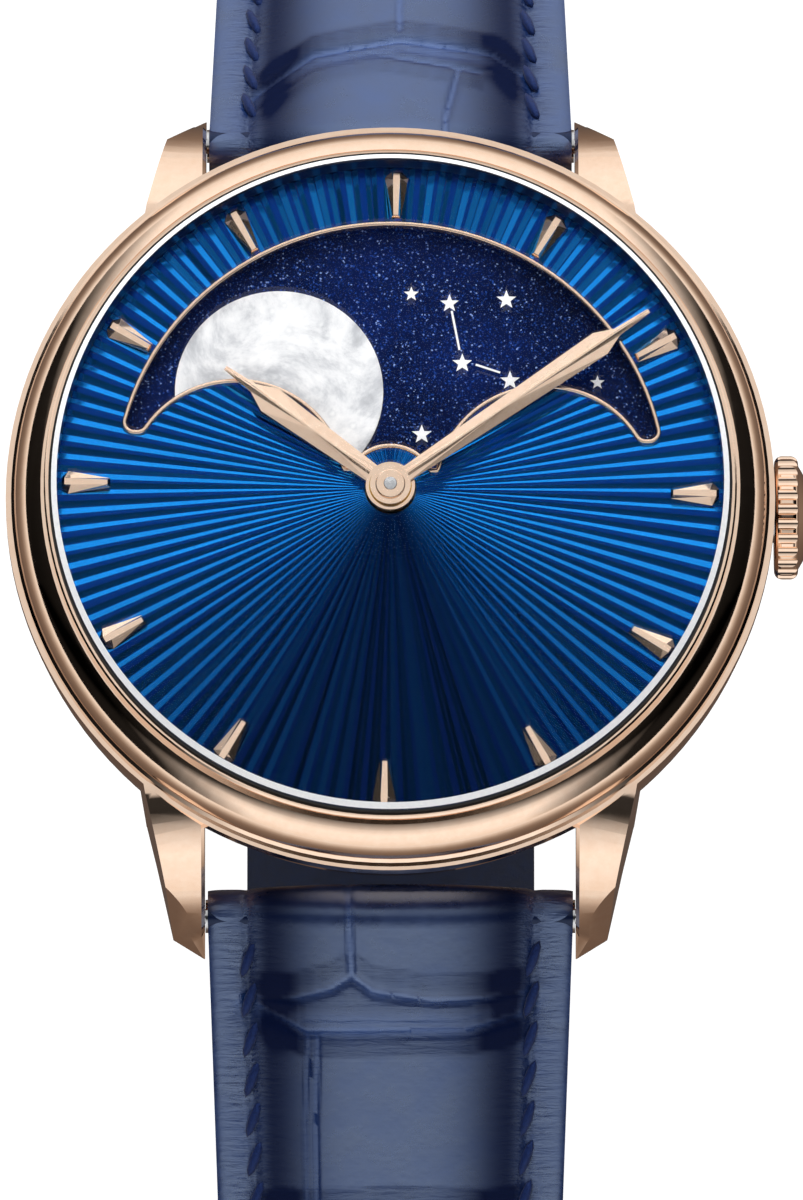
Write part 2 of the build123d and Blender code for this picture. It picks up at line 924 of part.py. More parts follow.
with BuildPart() as pearl_moons:
    with BuildSketch(Plane.XY.offset(disc_level)):
        with Locations(polar(moon_orbit, moon_angle), polar(moon_orbit, moon_angle + 180)):
            Circle(moon_radius)
    extrude(amount=moon_thickness)
save(pearl_moons.part, "pearl_moons")

# Movement ring: holds the movement in the case, carries the dial and clears the moon disc
stem_hole_radius = stem_radius + 2 * running_gap
ring_outer_radius = case_bore_radius - seat_gap
dial_seat_radius = bezel_bore_radius - seat_gap
with BuildPart() as movement_ring:
    with BuildSketch(Plane.XZ):
        with BuildLine():
            Polyline(
                (movement_radius + seat_gap, ring_foot_level),
                (ring_outer_radius, ring_foot_level),
                (ring_outer_radius, case_top_level + seat_gap),
                (dial_seat_radius, case_top_level + seat_gap),
                (dial_seat_radius, dial_floor),
                (ring_bore_radius, dial_floor),
                (ring_bore_radius, ring_step_level),
                (movement_radius + seat_gap, ring_step_level),
                close=True,
            )
        make_face()
    revolve(axis=Axis.Z)
    with BuildSketch(Plane.YZ.offset(movement_radius - overrun)):
        with Locations((0, crown_level)):
            Circle(stem_hole_radius)
    extrude(amount=case_radius, mode=Mode.SUBTRACT)
save(movement_ring.part, "movement_ring")

# Main plate, with the pocket for the winding pinions, the lever slot and the train's bearings
train_axes = (third_axis, fourth_axis, escape_axis, pallet_axis, balance_axis)
pinion_pocket_start = sliding_pinion_start - crown_travel - 2 * running_gap
pinion_pocket_end = winding_pinion_start + winding_pinion_length + 2 * running_gap
pinion_pocket_length = pinion_pocket_end - pinion_pocket_start
pinion_pocket_width = 2 * winding_pinion_radius + 4 * running_gap
with BuildPart() as main_plate:
    with BuildSketch(Plane.XY.offset(plate_base_level)):
        Circle(movement_radius)
        Circle(jewel_radius, mode=Mode.SUBTRACT)
        with Locations(*train_axes, barrel_axis):
            Circle(jewel_radius, mode=Mode.SUBTRACT)
        with Locations((lever_place + crown_travel / 2, 0), (yoke_place - crown_travel / 2, 0)):
            SlotOverall(
                crown_travel + 3 * lever_pin_radius,
                2 * lever_pin_radius + 2 * running_gap,
                mode=Mode.SUBTRACT,
            )
    extrude(amount=plate_top_level - plate_base_level)
    with BuildSketch(Plane.XY.offset(plate_base_level)):
        with Locations((pinion_pocket_start, 0)):
            Rectangle(
                pinion_pocket_length,
                pinion_pocket_width,
                align=(Align.MIN, Align.CENTER),
            )
    extrude(amount=crown_level + winding_pinion_radius + running_gap - plate_base_level, mode=Mode.SUBTRACT)
    add(post(minute_wheel_axis, arbor_radius, plate_top_level, hour_wheel_level + wheel_thickness))
save(main_plate.part, "main_plate")


def upright_plane(direction):
    """Gives the plane through the Z axis whose local X points in a direction in degrees."""
    angle = radians(direction)
    return Plane(origin=(0, 0, 0), x_dir=(cos(angle), sin(angle), 0), z_dir=(sin(angle), -cos(angle), 0))


def bridge_block(start, sweep, inner_radius=0):
    """Makes a bridge: a flat sector over the train with a wall down to the main plate at its rim."""
    wall_inner = bridge_radius + rim_wall_offset
    with BuildPart() as block:
        with BuildSketch(upright_plane(start)):
            with BuildLine():
                Polyline(
                    (inner_radius, bridge_level),
                    (bridge_radius, bridge_level),
                    (bridge_radius, bridge_web_level),
                    (movement_radius, bridge_web_level),
                    (movement_radius, plate_base_level),
                    (wall_inner, plate_base_level),
                    (wall_inner, bridge_top),
                    (inner_radius, bridge_top),
                    close=True,
                )
            make_face()
        revolve(axis=Axis.Z, revolution_arc=sweep)
    return block.part


# Bridges on the back of the movement, with their jewel holes and the cut for the winding pinions
bridge_web_level = rotor_level + rotor_rim_height + rotor_clearance
boss_hole_radius = boss_radius + seat_gap
pinion_pocket_floor = crown_level - winding_pinion_radius - running_gap
bridge_cut = bridge_thickness + 2 * overrun
click_axis = polar(click_distance, click_direction, barrel_axis)
with BuildPart() as barrel_bridge:
    add(bridge_block(barrel_bridge_start, barrel_bridge_sweep))
    with BuildSketch(Plane.XY.offset(bridge_level - overrun)):
        Circle(boss_hole_radius)
        with Locations(barrel_axis):
            Circle(arbor_hub_radius + running_gap)
    extrude(amount=bridge_cut, mode=Mode.SUBTRACT)
    with BuildSketch(Plane.XY.offset(pinion_pocket_floor)):
        with Locations((pinion_pocket_start, 0)):
            Rectangle(
                pinion_pocket_length,
                pinion_pocket_width,
                align=(Align.MIN, Align.CENTER),
            )
    extrude(amount=bridge_cut, mode=Mode.SUBTRACT)
    with BuildSketch(Plane.YZ.offset(pinion_pocket_start)):
        with Locations((0, crown_level)):
            Circle(stem_hole_radius)
            Rectangle(
                2 * stem_hole_radius,
                plate_base_level - crown_level + overrun,
                align=(Align.CENTER, Align.MIN),
            )
    extrude(amount=movement_radius, mode=Mode.SUBTRACT)
    for axis in (crown_wheel_axis, click_axis):
        add(post(axis, arbor_radius, winding_wheel_level, bridge_level + seat_gap))
save(barrel_bridge.part, "barrel_bridge")

with BuildPart() as train_bridge:
    add(bridge_block(train_bridge_start, train_bridge_sweep))
    add(post(centre_axis, boss_radius, bridge_level, bridge_top))
    with BuildSketch(Plane.XY.offset(bridge_level - overrun)):
        with Locations(centre_axis, third_axis, fourth_axis, escape_axis):
            Circle(jewel_radius)
    extrude(amount=bridge_cut, mode=Mode.SUBTRACT)
save(train_bridge.part, "train_bridge")

with BuildPart() as balance_cock:
    add(bridge_block(cock_start, cock_sweep, boss_hole_radius))
    with BuildSketch(Plane.XY.offset(bridge_level - overrun)):
        with Locations(balance_axis):
            Circle(jewel_radius)
    extrude(amount=bridge_cut, mode=Mode.SUBTRACT)
save(balance_cock.part, "balance_cock")

# Pallet bridge: a small strip below the balance with one foot on the main plate
pallet_foot = polar(pallet_foot_distance, pallet_direction - 90, pallet_axis)
pallet_hole_radius = jewel_radius / 2
with BuildPart() as pallet_bridge:
    with BuildSketch(Plane.XY.offset(pallet_bridge_level)):
        with Locations(pallet_axis, pallet_foot):
            Circle(jewel_radius)
        make_hull()
        with Locations(pallet_axis):
            Circle(pallet_hole_radius, mode=Mode.SUBTRACT)
    extrude(amount=pallet_bridge_thickness)
    add(post(pallet_foot, jewel_radius, pallet_bridge_level, plate_base_level))
save(pallet_bridge.part, "pallet_bridge")

# Going train, from the barrel to the escape wheel, with every tooth set in a gap of its mate
barrel_phase = 0
centre_pinion_phase = mesh_phase(centre_axis, centre_pinion_leaves, barrel_axis, barrel_teeth, barrel_phase)
third_pinion_phase = mesh_phase(third_axis, third_pinion_leaves, centre_axis, centre_teeth, 0)
fourth_pinion_phase = mesh_phase(fourth_axis, fourth_pinion_leaves, third_axis, third_teeth, 0)
escape_pinion_phase = mesh_phase(escape_axis, escape_pinion_leaves, fourth_axis, fourth_teeth, 0)
barrel_top = barrel_floor_level + barrel_height
barrel_rim_level = barrel_top - barrel_rim_height
barrel_wall_radius = barrel_teeth * barrel_module / 2 - 2 * barrel_module
barrel_inner_radius = barrel_wall_radius - barrel_wall
barrel_cover_top = barrel_floor_level + barrel_cover_thickness
barrel_bore = arbor_hub_radius + running_gap
with BuildPart() as barrel:
    add(
        toothed_wheel(
            barrel_axis,
            barrel_teeth,
            barrel_module,
            barrel_rim_level,
            barrel_rim_height,
            barrel_phase,
            barrel_bore,
        )
    )
    add(post(barrel_axis, barrel_wall_radius, barrel_floor_level, barrel_cover_top, barrel_bore))
    add(post(barrel_axis, barrel_wall_radius, barrel_floor_level, barrel_rim_level, barrel_inner_radius))
save(barrel.part, "barrel")

arbor_end = plate_base_level + jewel_thickness
with BuildPart() as barrel_arbor:
    add(post(barrel_axis, arbor_hub_radius, winding_wheel_level, arbor_end))
    add(post(barrel_axis, arbor_core_radius, barrel_cover_top + seat_gap, barrel_rim_level - seat_gap))
save(barrel_arbor.part, "barrel_arbor")


def spiral_band(axis, level, height, inner, outer, turns, wall):
    """Makes a flat spiral spring as one band of even thickness, wound outwards from its core."""
    steps_per_turn = 16
    steps = turns * steps_per_turn
    inside = []
    outside = []
    for step in range(steps + 1):
        angle = 2 * pi * step / steps_per_turn
        radius = inner + (outer - wall - inner) * step / steps
        inside.append((radius * cos(angle), radius * sin(angle)))
        outside.append(((radius + wall) * cos(angle), (radius + wall) * sin(angle)))
    with BuildPart() as band:
        with BuildSketch(Plane((axis[0], axis[1], level))):
            with BuildLine():
                Spline(*inside)
                Spline(*outside)
                Line(inside[0], outside[0])
                Line(inside[-1], outside[-1])
            make_face()
        extrude(amount=height)
    return band.part


mainspring = spiral_band(
    barrel_axis,
    barrel_cover_top + seat_gap,
    barrel_rim_level - barrel_cover_top - 2 * seat_gap,
    arbor_core_radius + running_gap,
    barrel_inner_radius - running_gap,
    mainspring_turns,
    mainspring_wall,
)
save(mainspring, "mainspring")


def train_wheel(axis, teeth, module, level, leaves, pinion_module, pinion_level, pinion_phase):
    """Makes a going train wheel: an arbor, its pinion and a wheel with four arms."""
    low = min(level, pinion_level)
    high = max(level, pinion_level) + wheel_thickness
    pinion_height = 2 * wheel_thickness
    with BuildPart() as mobile:
        add(toothed_wheel(axis, teeth, module, level, wheel_thickness, 0, 0, 4))
        add(toothed_wheel(axis, leaves, pinion_module, pinion_level, pinion_height, pinion_phase))
        add(post(axis, arbor_radius, bridge_level, arbor_end))
        add(post(axis, arbor_collar_radius, low, high))
    return mobile.part


with BuildPart() as centre_wheel:
    add(toothed_wheel(centre_axis, centre_teeth, centre_module, centre_wheel_level, wheel_thickness, 0, 0, 5))
    add(
        toothed_wheel(
            centre_axis,
            centre_pinion_leaves,
            barrel_module,
            barrel_rim_level,
            barrel_rim_height,
            centre_pinion_phase,
        )
    )
    add(post(centre_axis, arbor_collar_radius, centre_wheel_level, barrel_top))
    add(post(centre_axis, arbor_radius, bridge_level, minute_level))
save(centre_wheel.part, "centre_wheel")
third_wheel = train_wheel(
    third_axis,
    third_teeth,
    third_module,
    third_wheel_level,
    third_pinion_leaves,
    centre_module,
    centre_wheel_level - seat_gap,
    third_pinion_phase,
)
save(third_wheel, "third_wheel")
fourth_wheel = train_wheel(
    fourth_axis,
    fourth_teeth,
    fourth_module,
    fourth_wheel_level,
    fourth_pinion_leaves,
    third_module,
    third_wheel_level - seat_gap,
    fourth_pinion_phase,
)
save(fourth_wheel, "fourth_wheel")
escape_module = 2 * escape_radius / (escape_teeth + 2)
escape_wheel = train_wheel(
    escape_axis,
    escape_teeth,
    escape_module,
    escape_wheel_level,
    escape_pinion_leaves,
    fourth_module,
    fourth_wheel_level - seat_gap,
    escape_pinion_phase,
)
save(escape_wheel, "escape_wheel")

# Pallet fork: two arms that reach round the escape wheel and a lever towards the balance
fork_shares = (
    (-0.12, 0.14),
    (0.18, 0.55),
    (0.31, 0.47),
    (0.16, 0.12),
    (0.16, -0.12),
    (0.31, -0.47),
    (0.18, -0.55),
    (-0.12, -0.14),
    (-0.12, -0.05),
    (-0.9, -0.05),
    (-1.02, -0.16),
    (-1.02, -0.05),
    (-0.95, 0.0),
    (-1.02, 0.05),
    (-1.02, 0.16),
    (-0.9, 0.05),
    (-0.12, 0.05),
)
fork_points = [(x * pallet_distance, y * pallet_distance) for x, y in fork_shares]
fork_plane = Plane((pallet_axis[0], pallet_axis[1], escape_wheel_level)).rotated(
    (0, 0, pallet_direction + 180)
)
with BuildPart() as pallet_fork:
    with BuildSketch(fork_plane):
        with BuildLine():
            Polyline(*fork_points, close=True)
        make_face()
    extrude(amount=wheel_thickness)
    add(post(pallet_axis, arbor_radius, pallet_bridge_level, arbor_end))
save(pallet_fork.part, "pallet_fork")

# Balance: rim, three arms, staff and roller, and the hairspring above it
roller_top = escape_wheel_level - 2 * seat_gap
with BuildPart() as balance_wheel:
    with BuildSketch(Plane((balance_axis[0], balance_axis[1], balance_level))):
        Circle(balance_radius)
        Circle(balance_radius - balance_rim_width, mode=Mode.SUBTRACT)
    extrude(amount=balance_rim_height)
    with BuildSketch(Plane((balance_axis[0], balance_axis[1], balance_level))):
        Circle(2 * roller_radius)
        with PolarLocations(0, 3):
            Rectangle(
                balance_radius - balance_rim_width / 2,
                roller_radius,
                align=(Align.MIN, Align.CENTER),
            )
    extrude(amount=balance_rim_height / 2)
    add(post(balance_axis, arbor_radius, bridge_level, arbor_end))
    add(post(balance_axis, roller_radius, balance_level, roller_top))
save(balance_wheel.part, "balance_wheel")
hairspring = spiral_band(
    balance_axis,
    bridge_top + 2 * seat_gap,
    spring_height,
    spring_inner_radius,
    spring_outer_radius,
    spring_turns,
    spring_wall,
)
save(hairspring, "hairspring")

# Jewels: a pierced ruby at each pivot, in the bridges and in the main plate
jewel_seat = jewel_radius - seat_gap
pivot_hole = arbor_radius + pivot_play
with BuildPart() as jewels:
    with BuildSketch(Plane.XY.offset(bridge_level)):
        with Locations(centre_axis, third_axis, fourth_axis, escape_axis, balance_axis):
            Circle(jewel_seat)
            Circle(pivot_hole, mode=Mode.SUBTRACT)
    extrude(amount=jewel_thickness)
    with BuildSketch(Plane.XY.offset(plate_base_level)):
        with Locations(centre_axis, *train_axes):
            Circle(jewel_seat)
            Circle(pivot_hole, mode=Mode.SUBTRACT)
        with Locations(barrel_axis):
            Circle(jewel_seat)
            Circle(arbor_hub_radius + pivot_play, mode=Mode.SUBTRACT)
    extrude(amount=jewel_thickness)
    with BuildSketch(Plane.XY.offset(pallet_bridge_level)):
        with Locations(pallet_axis):
            Circle(pallet_hole_radius - seat_gap)
            Circle(pivot_hole, mode=Mode.SUBTRACT)
    extrude(amount=pallet_bridge_thickness)
save(jewels.part, "jewels")

# Winding work on the back of the barrel bridge
ratchet_phase = 0
crown_wheel_phase = mesh_phase(crown_wheel_axis, crown_wheel_teeth, barrel_axis, ratchet_teeth, ratchet_phase)
ratchet_wheel = toothed_wheel(
    barrel_axis,
    ratchet_teeth,
    winding_module,
    winding_wheel_level,
    winding_wheel_thickness,
    ratchet_phase,
    arbor_hub_radius + seat_gap,
)
save(ratchet_wheel, "ratchet_wheel")
crown_wheel = toothed_wheel(
    crown_wheel_axis,
    crown_wheel_teeth,
    winding_module,
    winding_wheel_level,
    winding_wheel_thickness,
    crown_wheel_phase,
    arbor_radius + running_gap,
)
save(crown_wheel, "crown_wheel")

# Click: a short pawl beside the ratchet wheel, with its pivot post in the bridge
with BuildPart() as click:
    with BuildSketch(Plane((click_axis[0], click_axis[1], winding_wheel_level))):
        Circle(click_radius)
        with Locations((0, 0)):
            SlotCenterPoint((0, 0), polar(click_length, click_direction + 180 + click_turn), click_width)
        Circle(arbor_radius + running_gap, mode=Mode.SUBTRACT)
    extrude(amount=winding_wheel_thickness)
save(click.part, "click")


def side_cylinder(radius, start, end, bore=0, level=crown_level):
    """Makes a round bar or tube parallel to X, at the height of the crown."""
    with BuildPart() as rod:
        with BuildSketch(Plane.YZ.offset(start)):
            with Locations((0, level)):
                Circle(radius)
                if bore:
                    Circle(bore, mode=Mode.SUBTRACT)
        extrude(amount=end - start)
    return rod.part


# Stem, with the groove that the setting lever's pin sits in
groove_start = lever_place - lever_groove / 2
groove_end = lever_place + lever_groove / 2
stem_outer_end = crown_start + crown_well_depth + seat_gap
stem_neck_radius = stem_radius / 2
with BuildPart() as winding_stem:
    add(side_cylinder(stem_radius, stem_inner_end, groove_start))
    add(side_cylinder(stem_neck_radius, groove_start, groove_end))
    add(side_cylinder(stem_radius, groove_end, stem_outer_end))
save(winding_stem.part, "winding_stem")
stem_bore = stem_radius + running_gap


def crown_pinion(teeth, radius, start, length):
    """Makes one of the two pinions that ride on the stem."""
    module = 2 * radius / (teeth + 1.2)
    points = [(y, crown_level + z) for y, z in tooth_points(teeth, module, 0)]
    with BuildPart() as pinion:
        with BuildSketch(Plane.YZ.offset(start)):
            with BuildLine():
                Polyline(*points, close=True)
            make_face()
            with Locations((0, crown_level)):
                Circle(stem_bore, mode=Mode.SUBTRACT)
        extrude(amount=length)
    return pinion.part


winding_pinion = crown_pinion(
    winding_pinion_teeth, winding_pinion_radius, winding_pinion_start, winding_pinion_length
)
save(winding_pinion, "winding_pinion")
sliding_pinion = crown_pinion(
    winding_pinion_teeth, sliding_pinion_radius, sliding_pinion_start, sliding_pinion_length
)
save(sliding_pinion, "sliding_pinion")

# Setting lever and yoke: flat levers on the dial side, each with a pin down to the stem
lever_level = plate_top_level + seat_gap
with BuildPart() as setting_lever:
    with BuildSketch(Plane.XY.offset(lever_level)):
        with Locations((lever_place, 0)):
            SlotCenterToCenter(lever_length, lever_width, rotation=90)
    extrude(amount=lever_thickness)
    add(post((lever_place, 0), lever_pin_radius, crown_level + stem_neck_radius + running_gap, lever_level))
save(setting_lever.part, "setting_lever")
yoke_pin_floor = crown_level + sliding_pinion_radius + running_gap
with BuildPart() as yoke:
    with BuildSketch(Plane.XY.offset(lever_level)):
        with Locations((yoke_place, 0)):
            SlotCenterToCenter(yoke_length, lever_width, rotation=90)
    extrude(amount=lever_thickness)
    add(post((yoke_place, 0), lever_pin_radius, yoke_pin_floor, lever_level))
save(yoke.part, "yoke")

# Crown, its tube in the case and the gasket between them
tube_end = crown_start + crown_well_depth - 2 * running_gap
crown_end = crown_start + crown_length
save(
    side_cylinder(crown_tube_radius, crown_tube_start, tube_end, crown_tube_radius - crown_tube_wall),
    "crown_tube",
)
gasket_inner = crown_tube_radius + seat_gap
gasket_outer = crown_well_radius - seat_gap
crown_gasket = side_cylinder(
    gasket_outer, tube_end - 2 * crown_gasket_width, tube_end - crown_gasket_width, gasket_inner
)
with BuildPart() as crown:
    with BuildSketch(Plane.YZ.offset(crown_start)):
        with Locations((0, crown_level)):
            Circle(crown_radius)
    extrude(amount=crown_length - crown_dome)
    fillet(crown.edges().filter_by(GeomType.CIRCLE), crown_round)
    with BuildSketch(Plane.YZ.offset(crown_start + crown_length - crown_dome)):
        with Locations((0, crown_level)):
            Circle(crown_radius - 1.2 * crown_round)
    extrude(amount=crown_dome, taper=crown_dome_taper)
    with BuildSketch(Plane.YZ.offset(crown_start + crown_flute_margin)):
        with Locations((0, crown_level)):
            with PolarLocations(crown_radius + crown_flute_sink, crown_flutes):
                Circle(crown_flute_radius)
    extrude(amount=crown_length - crown_dome - crown_flute_margin, mode=Mode.SUBTRACT)
    with BuildSketch(Plane.YZ.offset(crown_start)):
        with Locations((0, crown_level)):
            Circle(crown_well_radius)
            Circle(stem_radius + seat_gap, mode=Mode.SUBTRACT)
    extrude(amount=crown_well_depth, mode=Mode.SUBTRACT)
    with BuildSketch(Plane.YZ.offset(crown_start)):
        with Locations((0, crown_level)):
            Circle(stem_radius + seat_gap)
    extrude(amount=crown_well_depth + 2 * seat_gap, mode=Mode.SUBTRACT)
save(crown.part, "crown")

# Rotor: a thin web with two windows and a heavy rim over half a turn, on a bearing post
rotor_top = rotor_level + rotor_rim_height
with BuildPart() as rotor:
    with BuildSketch(upright_plane(rotor_start)):
        with BuildLine():
            Polyline(
                (0, rotor_level),
                (rotor_radius, rotor_level),
                (rotor_radius, rotor_top),
                (rotor_radius - rotor_rim_width, rotor_top),
                (rotor_radius - rotor_rim_width, rotor_level + rotor_web),
                (0, rotor_level + rotor_web),
                close=True,
            )
        make_face()
    revolve(axis=Axis.Z, revolution_arc=180)
    with BuildSketch(Plane.XY.offset(rotor_level)):
        Circle(rotor_hub_radius)
    extrude(amount=rotor_web)
    with BuildSketch(Plane.XY.offset(rotor_level - overrun)):
        for side in (-1, 1):
            with PolarLocations(0, 1, start_angle=rotor_start + 90 + side * rotor_slot_turn):
                with Locations((rotor_slot_radius, 0)):
                    SlotCenterToCenter(rotor_slot_length, rotor_slot_width, rotation=90)
        Circle(rotor_bearing_radius + running_gap)
    extrude(amount=rotor_web + 2 * overrun, mode=Mode.SUBTRACT)
save(rotor.part, "rotor")
rotor_bearing = post(centre_axis, rotor_bearing_radius, rotor_level, bridge_level)
save(rotor_bearing, "rotor_bearing")

# Case back: a flat ring with a spigot into the case, a sapphire window, a gasket and six screws
window_rebate_radius = back_window_radius + back_window_rebate
spigot_radius = case_bore_radius - seat_gap
with BuildPart() as case_back:
    with BuildSketch(Plane.XZ):
        with BuildLine():
            Polyline(
                (back_window_radius, 0),
                (back_radius - back_edge_break, 0),
                (back_radius, back_edge_break),
                (back_radius, back_height),
                (spigot_radius, back_height),
                (spigot_radius, back_height + back_spigot_height),
                (spigot_radius - back_spigot_wall, back_height + back_spigot_height),
                (spigot_radius - back_spigot_wall, back_height),
                (window_rebate_radius, back_height),
                (window_rebate_radius, back_window_seat),
                (back_window_radius, back_window_seat),
                close=True,
            )
        make_face()
    revolve(axis=Axis.Z)
    with BuildSketch(Plane.XY):
        with PolarLocations(back_screw_orbit, back_screw_count):
            Circle(back_screw_head_radius + seat_gap)
    extrude(amount=back_screw_head_height + seat_gap, mode=Mode.SUBTRACT)
    with BuildSketch(Plane.XY):
        with PolarLocations(back_screw_orbit, back_screw_count):
            Circle(back_screw_radius + seat_gap)
    extrude(amount=back_height, mode=Mode.SUBTRACT)
save(case_back.part, "case_back")
back_glass_radius = window_rebate_radius - gasket_wall - 2 * seat_gap
with BuildPart() as back_crystal:
    add(post(centre_axis, back_window_radius - seat_gap, 0, back_window_seat + seat_gap))
    add(post(centre_axis, back_glass_radius, back_window_seat + seat_gap, rotor_level - 2 * seat_gap))
save(back_crystal.part, "back_crystal")
back_gasket = post(
    centre_axis,
    window_rebate_radius - seat_gap,
    back_window_seat + seat_gap,
    back_height,
    back_glass_radius + seat_gap,
)
crystal_gasket = post(
    centre_axis,
    bezel_bore_radius - seat_gap,
    crystal_level,
    crystal_level + crystal_thickness - crystal_bevel_height,
    crystal_radius + seat_gap,
)

# Gaskets: one round the crystal, one round the back window and one on the crown tube
with BuildPart() as case_gaskets:
    for ring in (crystal_gasket, back_gasket, crown_gasket):
        add(ring)
save(case_gaskets.part, "case_gaskets")
slot_width = back_screw_head_radius / 3
with BuildPart() as case_back_screws:
    with BuildSketch(Plane.XY.offset(seat_gap)):
        with PolarLocations(back_screw_orbit, back_screw_count):
            Circle(back_screw_head_radius)
    extrude(amount=back_screw_head_height - seat_gap)
    with BuildSketch(Plane.XY.offset(seat_gap)):
        with PolarLocations(back_screw_orbit, back_screw_count):
            Rectangle(2 * back_screw_head_radius, slot_width)
    extrude(amount=back_screw_head_height / 2, mode=Mode.SUBTRACT)
    with BuildSketch(Plane.XY.offset(back_screw_head_height)):
        with PolarLocations(back_screw_orbit, back_screw_count):
            Circle(back_screw_radius)
    extrude(amount=back_screw_length - back_screw_head_height)
save(case_back_screws.part, "case_back_screws")

# Movement screws: slotted heads on the bridges' rims, each bridge held by two
with BuildPart() as movement_screws:
    screw_places = [polar(movement_screw_orbit, turn) for turn in movement_screw_turns]
    with BuildSketch(Plane.XY.offset(bridge_level - movement_screw_height)):
        with Locations(*screw_places):
            Circle(movement_screw_radius)
    extrude(amount=movement_screw_height)
    with BuildSketch(Plane.XY.offset(bridge_level - movement_screw_height)):
        with Locations(*screw_places):
            Rectangle(2 * movement_screw_radius, movement_screw_radius / 3)
    extrude(amount=movement_screw_height / 2, mode=Mode.SUBTRACT)
save(movement_screws.part, "movement_screws")


class StrapRoute:
    """The middle line of one strap half, from its lug bar down to the surface it lies on."""

    def __init__(self, side, first_bend, drop_run, floor_bend, foot):
        self.side = side
        slope = radians(strap_slope)
        runs = (
            ("line", strap_first_run, 0),
            ("arc", first_bend * (pi / 2 - slope), first_bend),
            ("line", drop_run, 0),
            ("arc", floor_bend * pi / 2, floor_bend),
            ("line", foot, 0),
        )
        self.runs = [run for run in runs if run[1] > 0]
        self.length = sum(run[1] for run in self.runs)

    def at(self, distance):
        """Gives the reach, the level and the slope angle of the route at a distance from the bar."""
        reach, level, angle = bar_reach, bar_level, radians(strap_slope)
        if distance < 0:
            return reach + distance * cos(angle), level - distance * sin(angle), angle
        left = distance
        for kind, length, radius in self.runs:
            step = min(left, length)
            if kind == "line":
                reach += step * cos(angle)
                level -= step * sin(angle)
            else:
                turned = angle + step / radius
                reach += radius * (sin(turned) - sin(angle))
                level -= radius * (cos(angle) - cos(turned))
                angle = turned
            left -= step
            if left <= 0:
                break
        return reach, level, angle

    def plane(self, distance):
        """Gives the plane square to the route, with local Y towards the strap's outer face."""
        reach, level, angle = self.at(distance)
        return Plane(
            origin=(0, self.side * reach, level),
            x_dir=(-self.side, 0, 0),
            z_dir=(0, self.side * cos(angle), -sin(angle)),
        )

    def stations(self, start, step):
        """Gives distances from a start to the end that also meet each end of each run."""
        marks = [start, lining_start] if start < lining_start else [start]
        end = 0
        for kind, length, _ in self.runs:
            first = end
            end += length
            count = max(1, round(length / step)) if kind == "arc" else 1
            marks += [first + length * index / count for index in range(1, count + 1)]
        return marks


def blend(first, last, distance, start, run):
    """Gives a size that changes evenly from a first to a last value over a run."""
    share = min(1, max(0, (distance - start) / run))
    return first + (last - first) * share


def strap_half_width(distance):
    """Gives half the strap's width at a distance from the lug bar."""
    return blend(strap_width, strap_end_width, distance, 0, taper_length) / 2


def leather_levels(distance):
    """Gives the heights of the leather's underside, edge and crown from the route."""
    under = blend(strap_under, strap_end_under, distance, 0, padding_run)
    edge = blend(strap_edge, strap_end_edge, distance, 0, padding_run)
    crown_height = blend(strap_crown, strap_end_crown, distance, 0, padding_run)
    if distance < lining_start:
        under = blend(loop_radius - lining_thickness / 2, under, distance, 0, lining_start)
    return -under, edge, crown_height


def strap_leather(route):
    """Makes the padded outer leather of one strap half, with its loop round the lug bar."""
    with BuildPart() as leather:
        for distance in route.stations(0, strap_step):
            half = strap_half_width(distance)
            under, edge, crown_height = leather_levels(distance)
            with BuildSketch(route.plane(distance)):
                with BuildLine():
                    Polyline((-half, edge), (-half, under), (half, under), (half, edge))
                    ThreePointArc((half, edge), (0, crown_height), (-half, edge))
                make_face()
        loft(ruled=True)
        with BuildSketch(Plane.YZ.offset(-strap_width / 2)):
            with Locations((route.side * bar_reach, bar_level)):
                Circle(loop_radius)
        extrude(amount=strap_width)
        with BuildSketch(Plane.YZ.offset(-strap_width)):
            with Locations((route.side * bar_reach, bar_level)):
                Circle(bar_radius + running_gap)
        extrude(amount=2 * strap_width, mode=Mode.SUBTRACT)
    return leather.part


def strap_lining(route):
    """Makes the thin lining under the leather of one strap half."""
    with BuildPart() as lining:
        for distance in route.stations(lining_start, strap_step):
            half = strap_half_width(distance)
            under = leather_levels(distance)[0]
            with BuildSketch(route.plane(distance)):
                with Locations((0, under - seat_gap)):
                    Rectangle(2 * half, lining_thickness, align=(Align.CENTER, Align.MAX))
        loft(ruled=True)
    return lining.part


# Routes: both halves drop to one surface; the short one stands on its fixed keeper
slope_start = radians(strap_slope)
long_drop = strap_first_run * sin(slope_start) + long_bend_radius * cos(slope_start) + long_floor_radius
floor_level = bar_level - long_drop - strap_end_crown
keeper_inner_height = strap_end_crown + keeper_play
short_flat_level = floor_level + keeper_inner_height + keeper_thickness
short_fixed_drop = strap_first_run * sin(slope_start) + short_bend_radius * cos(slope_start)
short_drop_run = bar_level - short_flat_level - short_fixed_drop - short_floor_radius


def foot_reach(first_bend, floor_bend):
    """Gives how far from the middle a strap half's foot begins."""
    sloped = strap_first_run * cos(slope_start) + first_bend * (1 - sin(slope_start))
    return bar_reach + sloped - floor_bend


buckle_front = foot_reach(short_bend_radius, short_floor_radius) - short_foot - buckle_length
tail_tip = buckle_front - tang_overhang - tail_gap
long_foot = tail_tip + foot_reach(long_bend_radius, long_floor_radius)
long_route = StrapRoute(-1, long_bend_radius, 0, long_floor_radius, long_foot)
short_route = StrapRoute(1, short_bend_radius, short_drop_run, short_floor_radius, short_foot)
print("floor level", round(floor_level, 2), "long half", round(long_route.length, 1))
print("short half", round(short_route.length, 1), "straight drop", round(short_drop_run, 2))

# Long half: seven holes and a pointed tail

